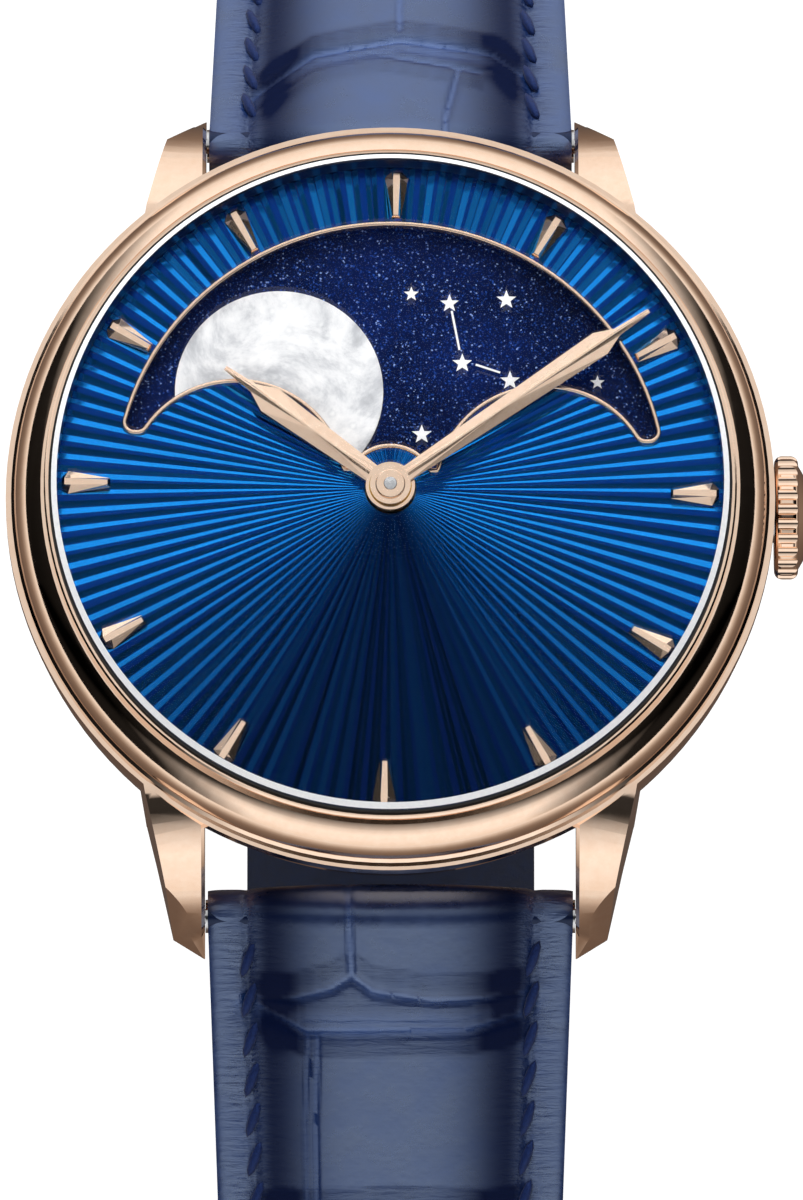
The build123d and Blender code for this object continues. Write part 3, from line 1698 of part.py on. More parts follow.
def tail_trim(part):
    """Cuts the tang holes and the pointed tail from a piece of the long half."""
    tail_plane = Plane.XY.offset(floor_level - overrun)
    reach, _, _ = long_route.at(long_route.length)
    tip_y = -reach
    shoulder_y = tip_y - tail_point
    half = strap_end_width / 2 + overrun
    with BuildPart() as trimmed:
        add(part)
        with BuildSketch(tail_plane):
            for place in range(hole_count):
                with Locations((0, tip_y - hole_first - place * hole_spacing)):
                    Circle(hole_radius)
        extrude(amount=tail_cut_height, mode=Mode.SUBTRACT)
        with BuildSketch(tail_plane):
            for side in (-1, 1):
                with BuildLine():
                    Polyline(
                        (side * half, shoulder_y),
                        (side * strap_end_width / 2, shoulder_y),
                    )
                    ThreePointArc(
                        (side * strap_end_width / 2, shoulder_y),
                        (side * tail_cheek_half, tip_y - tail_point * tail_cheek_share),
                        (side * tail_half_width, tip_y + seat_gap),
                    )
                    Polyline(
                        (side * tail_half_width, tip_y + seat_gap),
                        (side * half, tip_y + seat_gap),
                        (side * half, shoulder_y),
                    )
                make_face()
        extrude(amount=tail_cut_height, mode=Mode.SUBTRACT)
    return trimmed.part


tail_cut_height = 2 * overrun + strap_end_crown + strap_end_under + lining_thickness
save(tail_trim(strap_leather(long_route)), "strap_long_leather")
save(tail_trim(strap_lining(long_route)), "strap_long_lining")

# Short half: a loop round the buckle pin with a slot for the tang
pin_reach, pin_level, _ = short_route.at(short_route.length)


def buckle_end(part, with_loop):
    """Adds the loop round the buckle pin and cuts the pin hole and the tang's slot."""
    with BuildPart() as ended:
        add(part)
        if with_loop:
            with BuildSketch(Plane.YZ.offset(-strap_end_width / 2)):
                with Locations((pin_reach, pin_level)):
                    Circle(buckle_loop_radius)
            extrude(amount=strap_end_width)
        with BuildSketch(Plane.YZ.offset(-strap_end_width)):
            with Locations((pin_reach, pin_level)):
                Circle(buckle_pin_radius + running_gap if with_loop else buckle_loop_radius + seat_gap)
        extrude(amount=2 * strap_end_width, mode=Mode.SUBTRACT)
        with BuildSketch(Plane.XY.offset(pin_level - 2 * buckle_loop_radius)):
            with Locations((0, pin_reach - 2 * buckle_loop_radius)):
                Rectangle(
                    tang_slot,
                    2 * buckle_loop_radius + tang_slot_depth,
                    align=(Align.CENTER, Align.MIN),
                )
        extrude(amount=4 * buckle_loop_radius, mode=Mode.SUBTRACT)
    return ended.part


save(buckle_end(strap_leather(short_route), True), "strap_short_leather")
save(buckle_end(strap_lining(short_route), False), "strap_short_lining")

# Spring bars at the lugs, each a thick body with two thin tips
bar_half = lug_gap / 2 - seat_gap
with BuildPart() as spring_bars:
    with BuildSketch(Plane.YZ.offset(-bar_half)):
        with Locations((-bar_reach, bar_level), (bar_reach, bar_level)):
            Circle(bar_radius)
    extrude(amount=2 * bar_half)
    with BuildSketch(Plane.YZ.offset(-bar_half - bar_tip_length)):
        with Locations((-bar_reach, bar_level), (bar_reach, bar_level)):
            Circle(bar_tip_radius)
    extrude(amount=2 * bar_half + 2 * bar_tip_length)
save(spring_bars.part, "spring_bars")


def keeper(route, middle, width):
    """Makes a leather loop round the strap, centred at a distance from the lug bar."""
    widest = middle - width / 2 - free_keeper_travel
    half = strap_half_width(widest) + keeper_play
    under, _, crown_height = leather_levels(middle)
    low = under - lining_thickness - seat_gap - keeper_play
    high = crown_height + keeper_play
    with BuildPart() as loop:
        with BuildSketch(route.plane(middle - width / 2)):
            with Locations((0, (low + high) / 2)):
                RectangleRounded(
                    2 * half + 2 * keeper_thickness,
                    high - low + 2 * keeper_thickness,
                    keeper_thickness,
                )
                Rectangle(2 * half, high - low, mode=Mode.SUBTRACT)
        extrude(amount=width)
    return loop.part


fixed_keeper_middle = short_route.length - short_foot + fixed_keeper_place
save(keeper(short_route, fixed_keeper_middle, fixed_keeper_width), "fixed_keeper")
drop_start = strap_first_run + short_bend_radius * (pi / 2 - slope_start)
free_keeper_middle = drop_start + short_drop_run / 2
save(keeper(short_route, free_keeper_middle, free_keeper_width), "free_keeper")

# Buckle: pin, frame with two ears and a front bar, and the tang
ear_outer = buckle_inside / 2 + buckle_side
front_reach = pin_reach - buckle_length
frame_floor = pin_level - buckle_ear_radius + buckle_sink
with BuildPart() as buckle_pin:
    with BuildSketch(Plane.YZ.offset(-buckle_inside / 2 - bar_tip_length)):
        with Locations((pin_reach, pin_level)):
            Circle(bar_tip_radius)
    extrude(amount=buckle_inside + 2 * bar_tip_length)
    with BuildSketch(Plane.YZ.offset(-buckle_inside / 2 + seat_gap)):
        with Locations((pin_reach, pin_level)):
            Circle(buckle_pin_radius)
    extrude(amount=buckle_inside - 2 * seat_gap)
save(buckle_pin.part, "buckle_pin")
with BuildPart() as buckle_frame:
    with BuildSketch(Plane.XY.offset(frame_floor)):
        with Locations((0, pin_reach)):
            RectangleRounded(
                2 * ear_outer,
                2 * buckle_length,
                buckle_round,
            )
            Rectangle(buckle_inside, 2 * (buckle_length - buckle_bar), mode=Mode.SUBTRACT)
        with Locations((0, pin_reach)):
            Rectangle(
                4 * ear_outer,
                4 * buckle_length,
                align=(Align.CENTER, Align.MIN),
                mode=Mode.SUBTRACT,
            )
    extrude(amount=buckle_thickness)
    with BuildSketch(Plane.YZ.offset(-ear_outer)):
        with Locations((pin_reach, pin_level)):
            Circle(buckle_ear_radius)
    extrude(amount=buckle_side)
    with BuildSketch(Plane.YZ.offset(ear_outer - buckle_side)):
        with Locations((pin_reach, pin_level)):
            Circle(buckle_ear_radius)
    extrude(amount=buckle_side)
    with BuildSketch(Plane.YZ.offset(-buckle_inside / 2 - bar_tip_length - seat_gap)):
        with Locations((pin_reach, pin_level)):
            Circle(bar_tip_radius + running_gap)
    extrude(amount=buckle_inside + 2 * bar_tip_length + 2 * seat_gap, mode=Mode.SUBTRACT)
save(buckle_frame.part, "buckle_frame")
tang_top = frame_floor - seat_gap
tang_loop_radius = buckle_pin_radius + running_gap + tang_wall
with BuildPart() as buckle_tang:
    with BuildSketch(Plane.YZ.offset(-tang_width / 2)):
        with BuildLine():
            Polyline(
                (pin_reach, pin_level - tang_loop_radius),
                (front_reach - tang_overhang, tang_top - tang_thickness),
                (front_reach - tang_overhang, tang_top),
                (front_reach + buckle_bar, tang_top),
                (pin_reach, pin_level),
                close=True,
            )
        make_face()
        with Locations((pin_reach, pin_level)):
            Circle(tang_loop_radius)
            Circle(buckle_pin_radius + running_gap, mode=Mode.SUBTRACT)
    extrude(amount=tang_width)
save(buckle_tang.part, "buckle_tang")
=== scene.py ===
"""Looks of a moon phase wristwatch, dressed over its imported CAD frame.

The frame is the row frame of the part: metres, +Z out of the dial, +Y to 12 o'clock and
+X to the crown. Sizes in the classes below are millimetres, as a maker would write them.
"""

import logging
import math
import random
from dataclasses import dataclass
from enum import Enum

import bmesh
import bpy
import numpy as np
from mathutils import Matrix, Vector


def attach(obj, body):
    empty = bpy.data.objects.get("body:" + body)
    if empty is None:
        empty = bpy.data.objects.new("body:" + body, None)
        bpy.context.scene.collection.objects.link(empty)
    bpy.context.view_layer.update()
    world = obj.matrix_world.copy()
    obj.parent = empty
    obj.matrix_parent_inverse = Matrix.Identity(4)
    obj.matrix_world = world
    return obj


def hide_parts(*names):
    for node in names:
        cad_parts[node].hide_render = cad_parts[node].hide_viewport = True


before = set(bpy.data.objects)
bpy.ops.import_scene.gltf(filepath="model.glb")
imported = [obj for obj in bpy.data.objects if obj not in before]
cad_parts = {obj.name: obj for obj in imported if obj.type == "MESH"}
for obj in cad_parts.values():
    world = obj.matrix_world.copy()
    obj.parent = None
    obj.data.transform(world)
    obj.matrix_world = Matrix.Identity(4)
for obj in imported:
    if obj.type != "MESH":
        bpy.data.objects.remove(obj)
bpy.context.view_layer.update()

MM = 0.001
Tree, Node, Socket, Piece = bpy.types.NodeTree, bpy.types.Node, bpy.types.NodeSocket, bpy.types.Object
log = logging.getLogger("watch")


class Grain(Enum):
    """How the fine marks of a finish run."""

    CLOUD = "cloud"
    AROUND = "around"
    STRIPES = "stripes"


def linear(hex_colour: str) -> tuple[float, float, float, float]:
    """Turns an sRGB hex colour to linear light.

    Args:
        hex_colour: A colour such as "#1c2a52".

    Returns:
        Red, green, blue and an alpha of 1.
    """
    parts = [int(hex_colour[i : i + 2], 16) / 255 for i in (1, 3, 5)]
    lit = [c / 12.92 if c <= 0.04045 else ((c + 0.055) / 1.055) ** 2.4 for c in parts]
    return (lit[0], lit[1], lit[2], 1.0)


def add_node(tree: Tree, kind: str, settings: dict | None = None, links: dict | None = None) -> Node:
    """Adds a node with its settings and links.

    Args:
        tree: The node tree to add to.
        kind: The node's Blender type name, without its "ShaderNode".
        settings: Properties, or input values, by name or number. A hex colour is turned to linear light, and
            "stops" fills a colour ramp.
        links: Sockets, or nodes for their first output, by the input's name or number.

    Returns:
        The new node.
    """
    node = tree.nodes.new("ShaderNode" + kind)
    for key, value in (settings or {}).items():
        if key == "stops":
            ramp = node.color_ramp
            while len(ramp.elements) < len(value):
                ramp.elements.new(0.5)
            for element, (place, colour) in zip(ramp.elements, value):
                element.position = place
                element.color = linear(colour)
        elif isinstance(key, int) or key in node.inputs:
            is_colour = isinstance(value, str) and value.startswith("#")
            node.inputs[key].default_value = linear(value) if is_colour else value
        else:
            setattr(node, key, value)
    for key, source in (links or {}).items():
        socket = source.outputs[0] if isinstance(source, Node) else source
        tree.links.new(socket, node.inputs[key])
    return node


def empty_tree(owner: bpy.types.Material | bpy.types.World) -> Tree:
    """Gives the node tree of a material or a world, cleared."""
    owner.use_nodes = True
    owner.node_tree.nodes.clear()
    return owner.node_tree


@dataclass(frozen=True)
class Finish:
    """One real material: what it is made of and how its surface was worked."""

    name: str
    colour: str
    second: str
    metallic: float = 0.0
    roughness: float = 0.5
    roughness_spread: float = 0.05
    ior: float = 1.5
    coat: float = 0.0
    coat_roughness: float = 0.05
    sheen: float = 0.0
    tint: str = "#ffffff"
    grain: Grain = Grain.CLOUD
    grain_mm: float = 1.0
    bump_mm: float = 0.0
    detail: float = 4.0

    def marks(self, tree: Tree) -> Socket:
        """Draws the finish's fine marks on the piece's own place.

        Args:
            tree: The material's node tree.

        Returns:
            A socket from 0 to 1.
        """
        place = add_node(tree, "TexCoord").outputs["Object"]
        per_metre = 1 / (self.grain_mm * MM)
        if self.grain is Grain.AROUND:
            split = add_node(tree, "SeparateXYZ", links={0: place})
            flat = add_node(tree, "CombineXYZ", links={0: split.outputs[0], 1: split.outputs[1]})
            reach = add_node(tree, "VectorMath", {"operation": "LENGTH"}, {0: flat})
            turned = add_node(tree, "CombineXYZ", links={0: reach.outputs["Value"], 1: split.outputs[2]})
            place = turned.outputs[0]
        stretch = {Grain.CLOUD: (1, 1, 1), Grain.AROUND: (1, 1, 0), Grain.STRIPES: (1, 0, 0)}[self.grain]
        placed = add_node(tree, "Mapping", {"Scale": [per_metre * share for share in stretch]}, {"Vector": place})
        if self.grain is Grain.STRIPES:
            wave = add_node(
                tree, "TexWave", {"Scale": 1.0, "wave_profile": "SAW", "Distortion": 0.0}, {"Vector": placed}
            )
            return wave.outputs["Fac"]
        noise = add_node(
            tree, "TexNoise", {"Scale": 1.0, "Detail": self.detail, "Roughness": 0.6}, {"Vector": placed}
        )
        return noise.outputs["Fac"]

    def colour_from(self, tree: Tree, marks: Socket) -> Socket:
        """Mixes the finish's two colours by its marks."""
        stops = [(0.3, self.second), (0.7, self.colour)]
        return add_node(tree, "ValToRGB", {"stops": stops}, {"Fac": marks}).outputs["Color"]

    def surface(self, tree: Tree, marks: Socket) -> Node:
        """Makes the shader with its colour, roughness and fine relief."""
        low, high = max(0.0, self.roughness - self.roughness_spread), self.roughness + self.roughness_spread
        spread = {"From Min": 0.3, "From Max": 0.7, "To Min": low, "To Max": high}
        gloss = add_node(tree, "MapRange", spread, {"Value": marks})
        settings = {
            "Metallic": self.metallic,
            "Coat Weight": self.coat,
            "Coat Roughness": self.coat_roughness,
            "Sheen Weight": self.sheen,
            "Specular Tint": self.tint,
        }
        if not self.metallic:
            settings["IOR"] = self.ior
        links = {"Base Color": self.colour_from(tree, marks), "Roughness": gloss}
        if self.bump_mm:
            depth = {"Strength": 1.0, "Distance": self.bump_mm * MM}
            links["Normal"] = add_node(tree, "Bump", depth, {"Height": self.relief(tree, marks)})
        return add_node(tree, "BsdfPrincipled", settings, links)

    def relief(self, tree: Tree, marks: Socket) -> Socket:
        """Gives the height that the light catches, which is the marks unless a finish adds to them."""
        return marks

    def material(self) -> bpy.types.Material:
        """Gives the finish's material, made once."""
        made = bpy.data.materials.get(self.name)
        if made:
            return made
        made = bpy.data.materials.new(self.name)
        tree = empty_tree(made)
        add_node(tree, "OutputMaterial", links={"Surface": self.surface(tree, self.marks(tree))})
        return made

    def dress(self, piece: Piece) -> None:
        """Puts the finish on every slot of a piece."""
        piece.data.materials.clear()
        piece.data.materials.append(self.material())


@dataclass(frozen=True)
class Aventurine(Finish):
    """Glass with copper flakes: dark, with each flake's glint painted into its colour as a bright speck."""

    flake_mm: float = 0.075
    painted_flake_glints: tuple = ((0.0, "#000000"), (0.7, "#020818"), (0.9, "#0a2258"), (0.97, "#1f4aa0"), (1.0, "#9db8ec"))
    painted_glint_share: float = 0.8

    def colour_from(self, tree: Tree, marks: Socket) -> Socket:
        """Scatters the flakes over the dark glass, each painted bright as its own glint."""
        place = add_node(tree, "TexCoord").outputs["Object"]
        cells = add_node(tree, "TexVoronoi", {"Scale": 1 / (self.flake_mm * MM)}, {"Vector": place})
        split = add_node(tree, "SeparateColor", links={0: cells.outputs["Color"]})
        base = add_node(tree, "ValToRGB", {"stops": [(0.35, self.second), (0.7, self.colour)]}, {"Fac": marks})
        painted_flake_glints = add_node(tree, "ValToRGB", {"stops": self.painted_flake_glints}, {"Fac": split.outputs[0]})
        added = {"data_type": "RGBA", "blend_type": "ADD", 0: self.painted_glint_share}
        return add_node(tree, "Mix", added, {6: base, 7: painted_flake_glints}).outputs[2]


@dataclass(frozen=True)
class MoonPearl(Finish):
    """Mother-of-pearl cut and clouded as a full moon: grey plains with small bright craters."""

    plain_mm: float = 4.2
    crater_mm: float = 0.9
    crater_share: float = 0.45
    plains: tuple = ((0.3, "#a9abb0"), (0.42, "#c9cbcf"), (0.5, "#e9eaec"), (0.62, "#ffffff"))
    rims: tuple = ((0.05, "#ffffff"), (0.2, "#d9dbde"), (0.34, "#f4f4f5"), (0.8, "#ffffff"))

    def colour_from(self, tree: Tree, marks: Socket) -> Socket:
        """Lays broad grey plains and small bright craters."""
        place = add_node(tree, "TexCoord").outputs["Object"]
        wide = {"Scale": 1 / (self.plain_mm * MM), "Detail": 8.0, "Roughness": 0.68, "Distortion": 0.6}
        plains = add_node(tree, "TexNoise", wide, {"Vector": place})
        broad = add_node(tree, "ValToRGB", {"stops": self.plains}, {"Fac": plains.outputs["Fac"]})
        small = {"Scale": 1 / (self.crater_mm * MM), "feature": "SMOOTH_F1"}
        craters = add_node(tree, "TexVoronoi", small, {"Vector": place})
        rims = add_node(tree, "ValToRGB", {"stops": self.rims}, {"Fac": craters.outputs["Distance"]})
        laid = {"data_type": "RGBA", "blend_type": "MULTIPLY", 0: self.crater_share}
        return add_node(tree, "Mix", laid, {6: broad, 7: rims}).outputs[2]


@dataclass(frozen=True)
class Alligator(Finish):
    """Glazed alligator: a dyed navy scale, brighter dye in the folds, a fine pore and painted shade from an
    attribute.
    """

    pore_mm: float = 0.35
    pore_depth: float = 0.2
    crease_mm: float = 0.32
    crease_stretch: float = 7.0
    crease_depth: float = 5.0
    dye: str = "#2a56a6"
    dye_share: float = 0.5
    # The colour of the painted shade laid by the seams, beside the folds and underneath
    painted_shade_colour: str = "#0a1330"
    glaze: float = 0.95

    def colour_from(self, tree: Tree, marks: Socket) -> Socket:
        """Mixes the scale's navy with the brighter dye that stays in the folds, then darkens it with painted shade.
        """
        scale = super().colour_from(tree, marks)
        fold = add_node(tree, "Attribute", {"attribute_name": "fold"}).outputs["Fac"]
        dye = add_node(tree, "Math", {"operation": "MULTIPLY", 1: self.dye_share}, {0: fold})
        both = add_node(tree, "Mix", {"data_type": "RGBA", 7: self.dye}, {0: dye, 6: scale})
        tone = add_node(tree, "Attribute", {"attribute_name": "tone"}).outputs["Fac"]
        shaded_scale = add_node(tree, "Mix", {"data_type": "RGBA", 7: self.painted_shade_colour}, {0: tone, 6: both.outputs[2]})
        return shaded_scale.outputs[2]

    def surface(self, tree: Tree, marks: Socket) -> Node:
        """Takes the glaze off where the painted shade lies, so that it stays dark there."""
        shader = super().surface(tree, marks)
        tone = add_node(tree, "Attribute", {"attribute_name": "tone"}).outputs["Fac"]
        glaze = add_node(tree, "MapRange", {"To Min": self.glaze, "To Max": 0.0}, {"Value": tone})
        tree.links.new(glaze.outputs["Result"], shader.inputs["Specular IOR Level"])
        return shader

    def relief(self, tree: Tree, marks: Socket) -> Socket:
        """Adds the fine cells of the hide to the marks."""
        place = add_node(tree, "TexCoord").outputs["Object"]
        pores = {"Scale": 1 / (self.pore_mm * MM), "feature": "SMOOTH_F1"}
        cells = add_node(tree, "TexVoronoi", pores, {"Vector": place}).outputs["Distance"]
        fine, long = 1 / (self.crease_mm * MM), 1 / (self.crease_mm * self.crease_stretch * MM)
        drawn = add_node(tree, "Mapping", {"Scale": (long, fine, fine)}, {"Vector": place})
        rough = {"Scale": 1.0, "Detail": 5.0, "Roughness": 0.6, "Distortion": 0.4}
        wrinkles = add_node(tree, "TexNoise", rough, {"Vector": drawn}).outputs["Fac"]
        crease = add_node(tree, "Attribute", {"attribute_name": "crease"}).outputs["Fac"]
        pulled = add_node(tree, "Math", {"operation": "MULTIPLY"}, {0: wrinkles, 1: crease})
        deep = add_node(tree, "Math", {"operation": "MULTIPLY_ADD", 1: self.crease_depth}, {0: pulled, 2: marks})
        both = add_node(tree, "Math", {"operation": "MULTIPLY_ADD", 1: self.pore_depth}, {0: cells, 2: deep})
        return both.outputs[0]


@dataclass(frozen=True)
class SunrayFilmPaintedShade(Finish):
    """Blue film on the dial, with painted shade laid over it towards 6 o'clock."""

    # The colour of the painted shade towards 6 o'clock
    deep: str = "#03113a"
    share: float = 0.88
    shade_from: float = -0.18
    shade_to: float = -0.97

    def colour_from(self, tree: Tree, marks: Socket) -> Socket:
        """Lays painted shade over the film by how near the place lies to the line from the centre to 6 o'clock."""
        film = super().colour_from(tree, marks)
        place = add_node(tree, "TexCoord").outputs["Object"]
        flat = add_node(tree, "VectorMath", {"operation": "MULTIPLY", 1: (1, 1, 0)}, {0: place})
        way = add_node(tree, "VectorMath", {"operation": "NORMALIZE"}, {0: flat})
        split = add_node(tree, "SeparateXYZ", links={0: way})
        ends = {"From Min": self.shade_from, "From Max": self.shade_to, "To Max": self.share}
        near = add_node(tree, "MapRange", {"interpolation_type": "SMOOTHSTEP", **ends}, {"Value": split.outputs[1]})
        mixed = add_node(tree, "Mix", {"data_type": "RGBA", 7: self.deep}, {0: near, 6: film})
        return mixed.outputs[2]


@dataclass(frozen=True)
class ClearStone(Finish):
    """Sapphire with a coating that stops most of its reflections."""

    cover: float = 0.03

    def surface(self, tree: Tree, marks: Socket) -> Node:
        """Makes a clear sheet that hides little of what is behind it."""
        shader = super().surface(tree, marks)
        shader.inputs["Transmission Weight"].default_value = 1.0
        shader.inputs["Alpha"].default_value = self.cover
        return shader


# 18 carat rose gold, polished: warm and mirror-like, with the faint haze of a buffing wheel
ROSE_GOLD = Finish("rose_gold_polished", "#fde0c8", "#f9d8be", 1.0, 0.075, 0.02, grain_mm=0.6, bump_mm=0.0003)
# The same gold with a fine satin grain, which softens what it reflects
ROSE_GOLD_SATIN = Finish(
    "rose_gold_satin", "#f3cfb0", "#e9bf9d", 1.0, 0.24, 0.04, grain=Grain.AROUND, grain_mm=0.05, bump_mm=0.0006
)
# Blue film laid over cut brass: deep colour that only shows where a facet meets the light, with painted shade
# towards 6 o'clock
DIAL_BLUE = SunrayFilmPaintedShade(
    "blue_film_on_cut_brass", "#1f8ee4", "#167ed4", 1.0, 0.13, 0.03, grain_mm=0.06, bump_mm=0.0005
)
# A painted shade copy of the same film for the flats between the facets, with the same painted shade towards 6
# o'clock
DIAL_PAINTED_SHADE_FLATS = SunrayFilmPaintedShade("blue_film_painted_shade_flats", "#0b3c8e", "#093078", 1.0, 0.2, 0.05, grain_mm=0.06, bump_mm=0.0005)
# A darker painted shade copy of the film for the bottom of each groove and the steep walls
DIAL_PAINTED_SHADE_GROOVES = Finish("blue_film_painted_shade_grooves", "#061a4c", "#04123a", 1.0, 0.3, 0.05, grain_mm=0.06)
# Aventurine glass: near black with fine blue and white flakes whose glints are painted in, drawn coarse enough to
# show
SKY = Aventurine("aventurine_glass", "#071648", "#040c2c", 0.0, 0.3, 0.1, ior=1.12, grain_mm=6.0)
# Mother-of-pearl: soft white with a silky surface
PEARL = MoonPearl("moon_pearl", "#ffffff", "#dddddf", 0.0, 0.35, 0.1, ior=1.55, coat=0.3, grain_mm=0.4)
# White enamel ink, laid thick enough to hold an edge
INK = Finish("white_enamel_ink", "#ffffff", "#f2f3f6", 0.0, 0.5, 0.05, grain_mm=0.3, bump_mm=0.002)
# Satin lacquer on the ring that stands between dial and crystal
FLANGE = Finish(
    "dark_blue_lacquer", "#0c1c44", "#081433", 0.0, 0.3, 0.05, coat=0.4, grain=Grain.AROUND, grain_mm=0.06
)
# Synthetic sapphire, almost invisible
SAPPHIRE = ClearStone("clear_sapphire", "#ffffff", "#fbfdff", 0.0, 0.02, 0.01, ior=1.5, grain_mm=5.0)
# The sapphire's bevel, painted white as a painted reflection of the white room round it
SAPPHIRE_BEVEL_PAINTED_REFLECTION = Finish("sapphire_bevel_painted_reflection", "#ffffff", "#f2f4f8", 0.0, 0.35, 0.08, ior=1.6, coat=0.3, grain_mm=0.2)
# Rhodium plated brass with broad parallel stripes cut by a turning disc
STRIPED_BRIDGE = Finish(
    "striped_rhodium_brass", "#cfcdc9", "#a9a7a3", 1.0, 0.26, 0.1, grain=Grain.STRIPES, grain_mm=5.6, bump_mm=0.004
)
# Rhodium plated brass with a fine circular grain
PLATE = Finish(
    "grained_rhodium_brass", "#c9c7c2", "#b3b1ac", 1.0, 0.3, 0.08, grain=Grain.AROUND, grain_mm=0.08, bump_mm=0.001
)
# Gilt brass wheels with a circular grain
GILT = Finish(
    "gilt_wheel_brass", "#e3b968", "#cf9f4d", 1.0, 0.24, 0.06, grain=Grain.AROUND, grain_mm=0.08, bump_mm=0.001
)
# Hardened steel, flat polished
STEEL = Finish("flat_polished_steel", "#d5d6d8", "#c2c4c7", 1.0, 0.14, 0.04, grain_mm=0.2, bump_mm=0.0004)
# Steel turned blue by heat
BLUED = Finish("heat_blued_steel", "#2a3f8f", "#1c2c6e", 1.0, 0.2, 0.05, grain_mm=0.2)
# Synthetic ruby, polished
RUBY = Finish("synthetic_ruby", "#c2143c", "#9c0d2c", 0.0, 0.08, 0.03, ior=1.76, coat=0.5, grain_mm=0.5)
# Moulded nitrile rubber
NITRILE = Finish("nitrile_rubber", "#17181a", "#0f1011", 0.0, 0.6, 0.08, grain_mm=0.3, bump_mm=0.003)
# Tungsten alloy under a satin grain that follows the rotor's rim
ROTOR_ALLOY = Finish(
    "satin_tungsten_alloy", "#bdbab6", "#a6a39f", 1.0, 0.28, 0.07, grain=Grain.AROUND, grain_mm=0.12, bump_mm=0.002
)
# Glazed alligator, dyed navy, with painted shade by the seams and beside the folds
LEATHER = Alligator(
    "glazed_alligator", "#0f2b62", "#081b48", 0.0, 0.3, 0.08, ior=1.95, coat=0.06, coat_roughness=0.22,
    tint="#c8deff", grain_mm=2.4, bump_mm=0.03, detail=6.0,
)
# Smooth calf under the strap, dyed dark
LINING = Finish("smooth_calf", "#101a33", "#0a1124", 0.0, 0.6, 0.08, grain_mm=0.5, bump_mm=0.02, detail=6.0)
# Waxed linen thread
THREAD = Finish(
    "waxed_linen_thread", "#16295c", "#0c193e", 0.0, 0.5, 0.1, sheen=0.1, tint="#9db8ff",
    grain_mm=0.14, bump_mm=0.03,
)


def clear_selection() -> None:
    """Leaves edit mode and deselects everything."""
    if bpy.context.object and bpy.context.object.mode != "OBJECT":
        bpy.ops.object.mode_set(mode="OBJECT")
    bpy.ops.object.select_all(action="DESELECT")


def select_only(piece: Piece) -> None:
    """Selects one piece and makes it active."""
    clear_selection()
    piece.select_set(True)
    bpy.context.view_layer.objects.active = piece


def start_shaping(piece: Piece) -> None:
    """Opens one piece in edit mode with all of it selected."""
    select_only(piece)
    bpy.ops.object.mode_set(mode="EDIT")
    bpy.ops.mesh.select_all(action="SELECT")


def new_piece(name: str) -> Piece:
    """Names the primitive just added and lays its place into its mesh."""
    piece = bpy.context.object
    piece.name = name
    piece.data.name = name
    select_only(piece)
    bpy.ops.object.transform_apply(location=True, rotation=True, scale=True)
    return piece


def close_up(piece: Piece, sharp_degrees: float | None = None) -> Piece:
    """Merges doubles, turns the faces outwards and shades them.

    Args:
        piece: The piece to finish.
        sharp_degrees: The angle past which an edge stays crisp, or None for flat faces.

    Returns:
        The same piece.
    """
    start_shaping(piece)
    bpy.ops.mesh.remove_doubles(threshold=1e-7)
    bpy.ops.mesh.normals_make_consistent(inside=False)
    bpy.ops.object.mode_set(mode="OBJECT")
    if sharp_degrees is None:
        bpy.ops.object.shade_flat()
    else:
        bpy.ops.object.shade_smooth_by_angle(angle=math.radians(sharp_degrees))
    return piece


def apply_modifier(piece: Piece, kind: str, **settings: object) -> None:
    """Adds a modifier, sets it and applies it."""
    select_only(piece)
    modifier = piece.modifiers.new(kind.title(), kind)
    for key, value in settings.items():
        setattr(modifier, key, value)
    bpy.ops.object.modifier_apply(modifier=modifier.name)


def cut_with(piece: Piece, cutters: list[Piece], operation: str = "DIFFERENCE") -> None:
    """Cuts a piece with other pieces, which are used up.

    Args:
        piece: The piece to cut.
        cutters: Closed pieces that stand clear of each other.
        operation: The boolean operation.
    """
    cutter = join(cutters, "cutter")
    apply_modifier(piece, "BOOLEAN", operation=operation, object=cutter, solver="EXACT")
    bpy.data.objects.remove(cutter)


def add_copy(model: Piece, turn: Matrix) -> Piece:
    """Adds a copy of a modelled piece with a move and turn laid into its mesh."""
    copy = add_object(model.name, model.data.copy())
    copy.data.transform(turn)
    return copy


def rows_of_faces(rows: int, ring: int) -> list[tuple]:
    """Gives the faces of a tube of points, and its two ends.

    Args:
        rows: How many rings of points there are.
        ring: How many points a ring has.

    Returns:
        The faces, as tuples of point numbers.
    """
    faces = []
    for first in range(rows - 1):
        for corner in range(ring):
            a, b = first * ring + corner, first * ring + (corner + 1) % ring
            faces.append((a, b, b + ring, a + ring))
    return faces + [tuple(range(ring))[::-1], tuple(range((rows - 1) * ring, rows * ring))]


def copy_of(node: str, name: str) -> Piece:
    """Copies a CAD node's mesh into a new merged piece.

    Args:
        node: The CAD node's name.
        name: The new piece's name.

    Returns:
        The new piece, with no custom normals left on it.
    """
    piece = add_object(name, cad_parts[node].data.copy())
    start_shaping(piece)
    bpy.ops.mesh.customdata_custom_splitnormals_clear()
    bpy.ops.mesh.remove_doubles(threshold=2e-7)
    bpy.ops.object.mode_set(mode="OBJECT")
    return piece


def add_object(name: str, data: bpy.types.ID) -> Piece:
    """Adds an object with its data to the scene."""
    added = bpy.data.objects.new(name, data)
    bpy.context.scene.collection.objects.link(added)
    return added


def extrude_up(height_mm: float) -> None:
    """Extrudes the selected faces upwards."""
    bpy.ops.mesh.extrude_region_move(TRANSFORM_OT_translate={"value": (0, 0, height_mm * MM)})


def face_along(thing: Piece, way: Vector) -> None:
    """Turns a camera or a lamp to look along a direction."""
    thing.rotation_mode = "QUATERNION"
    thing.rotation_quaternion = way.to_track_quat("-Z", "Y")


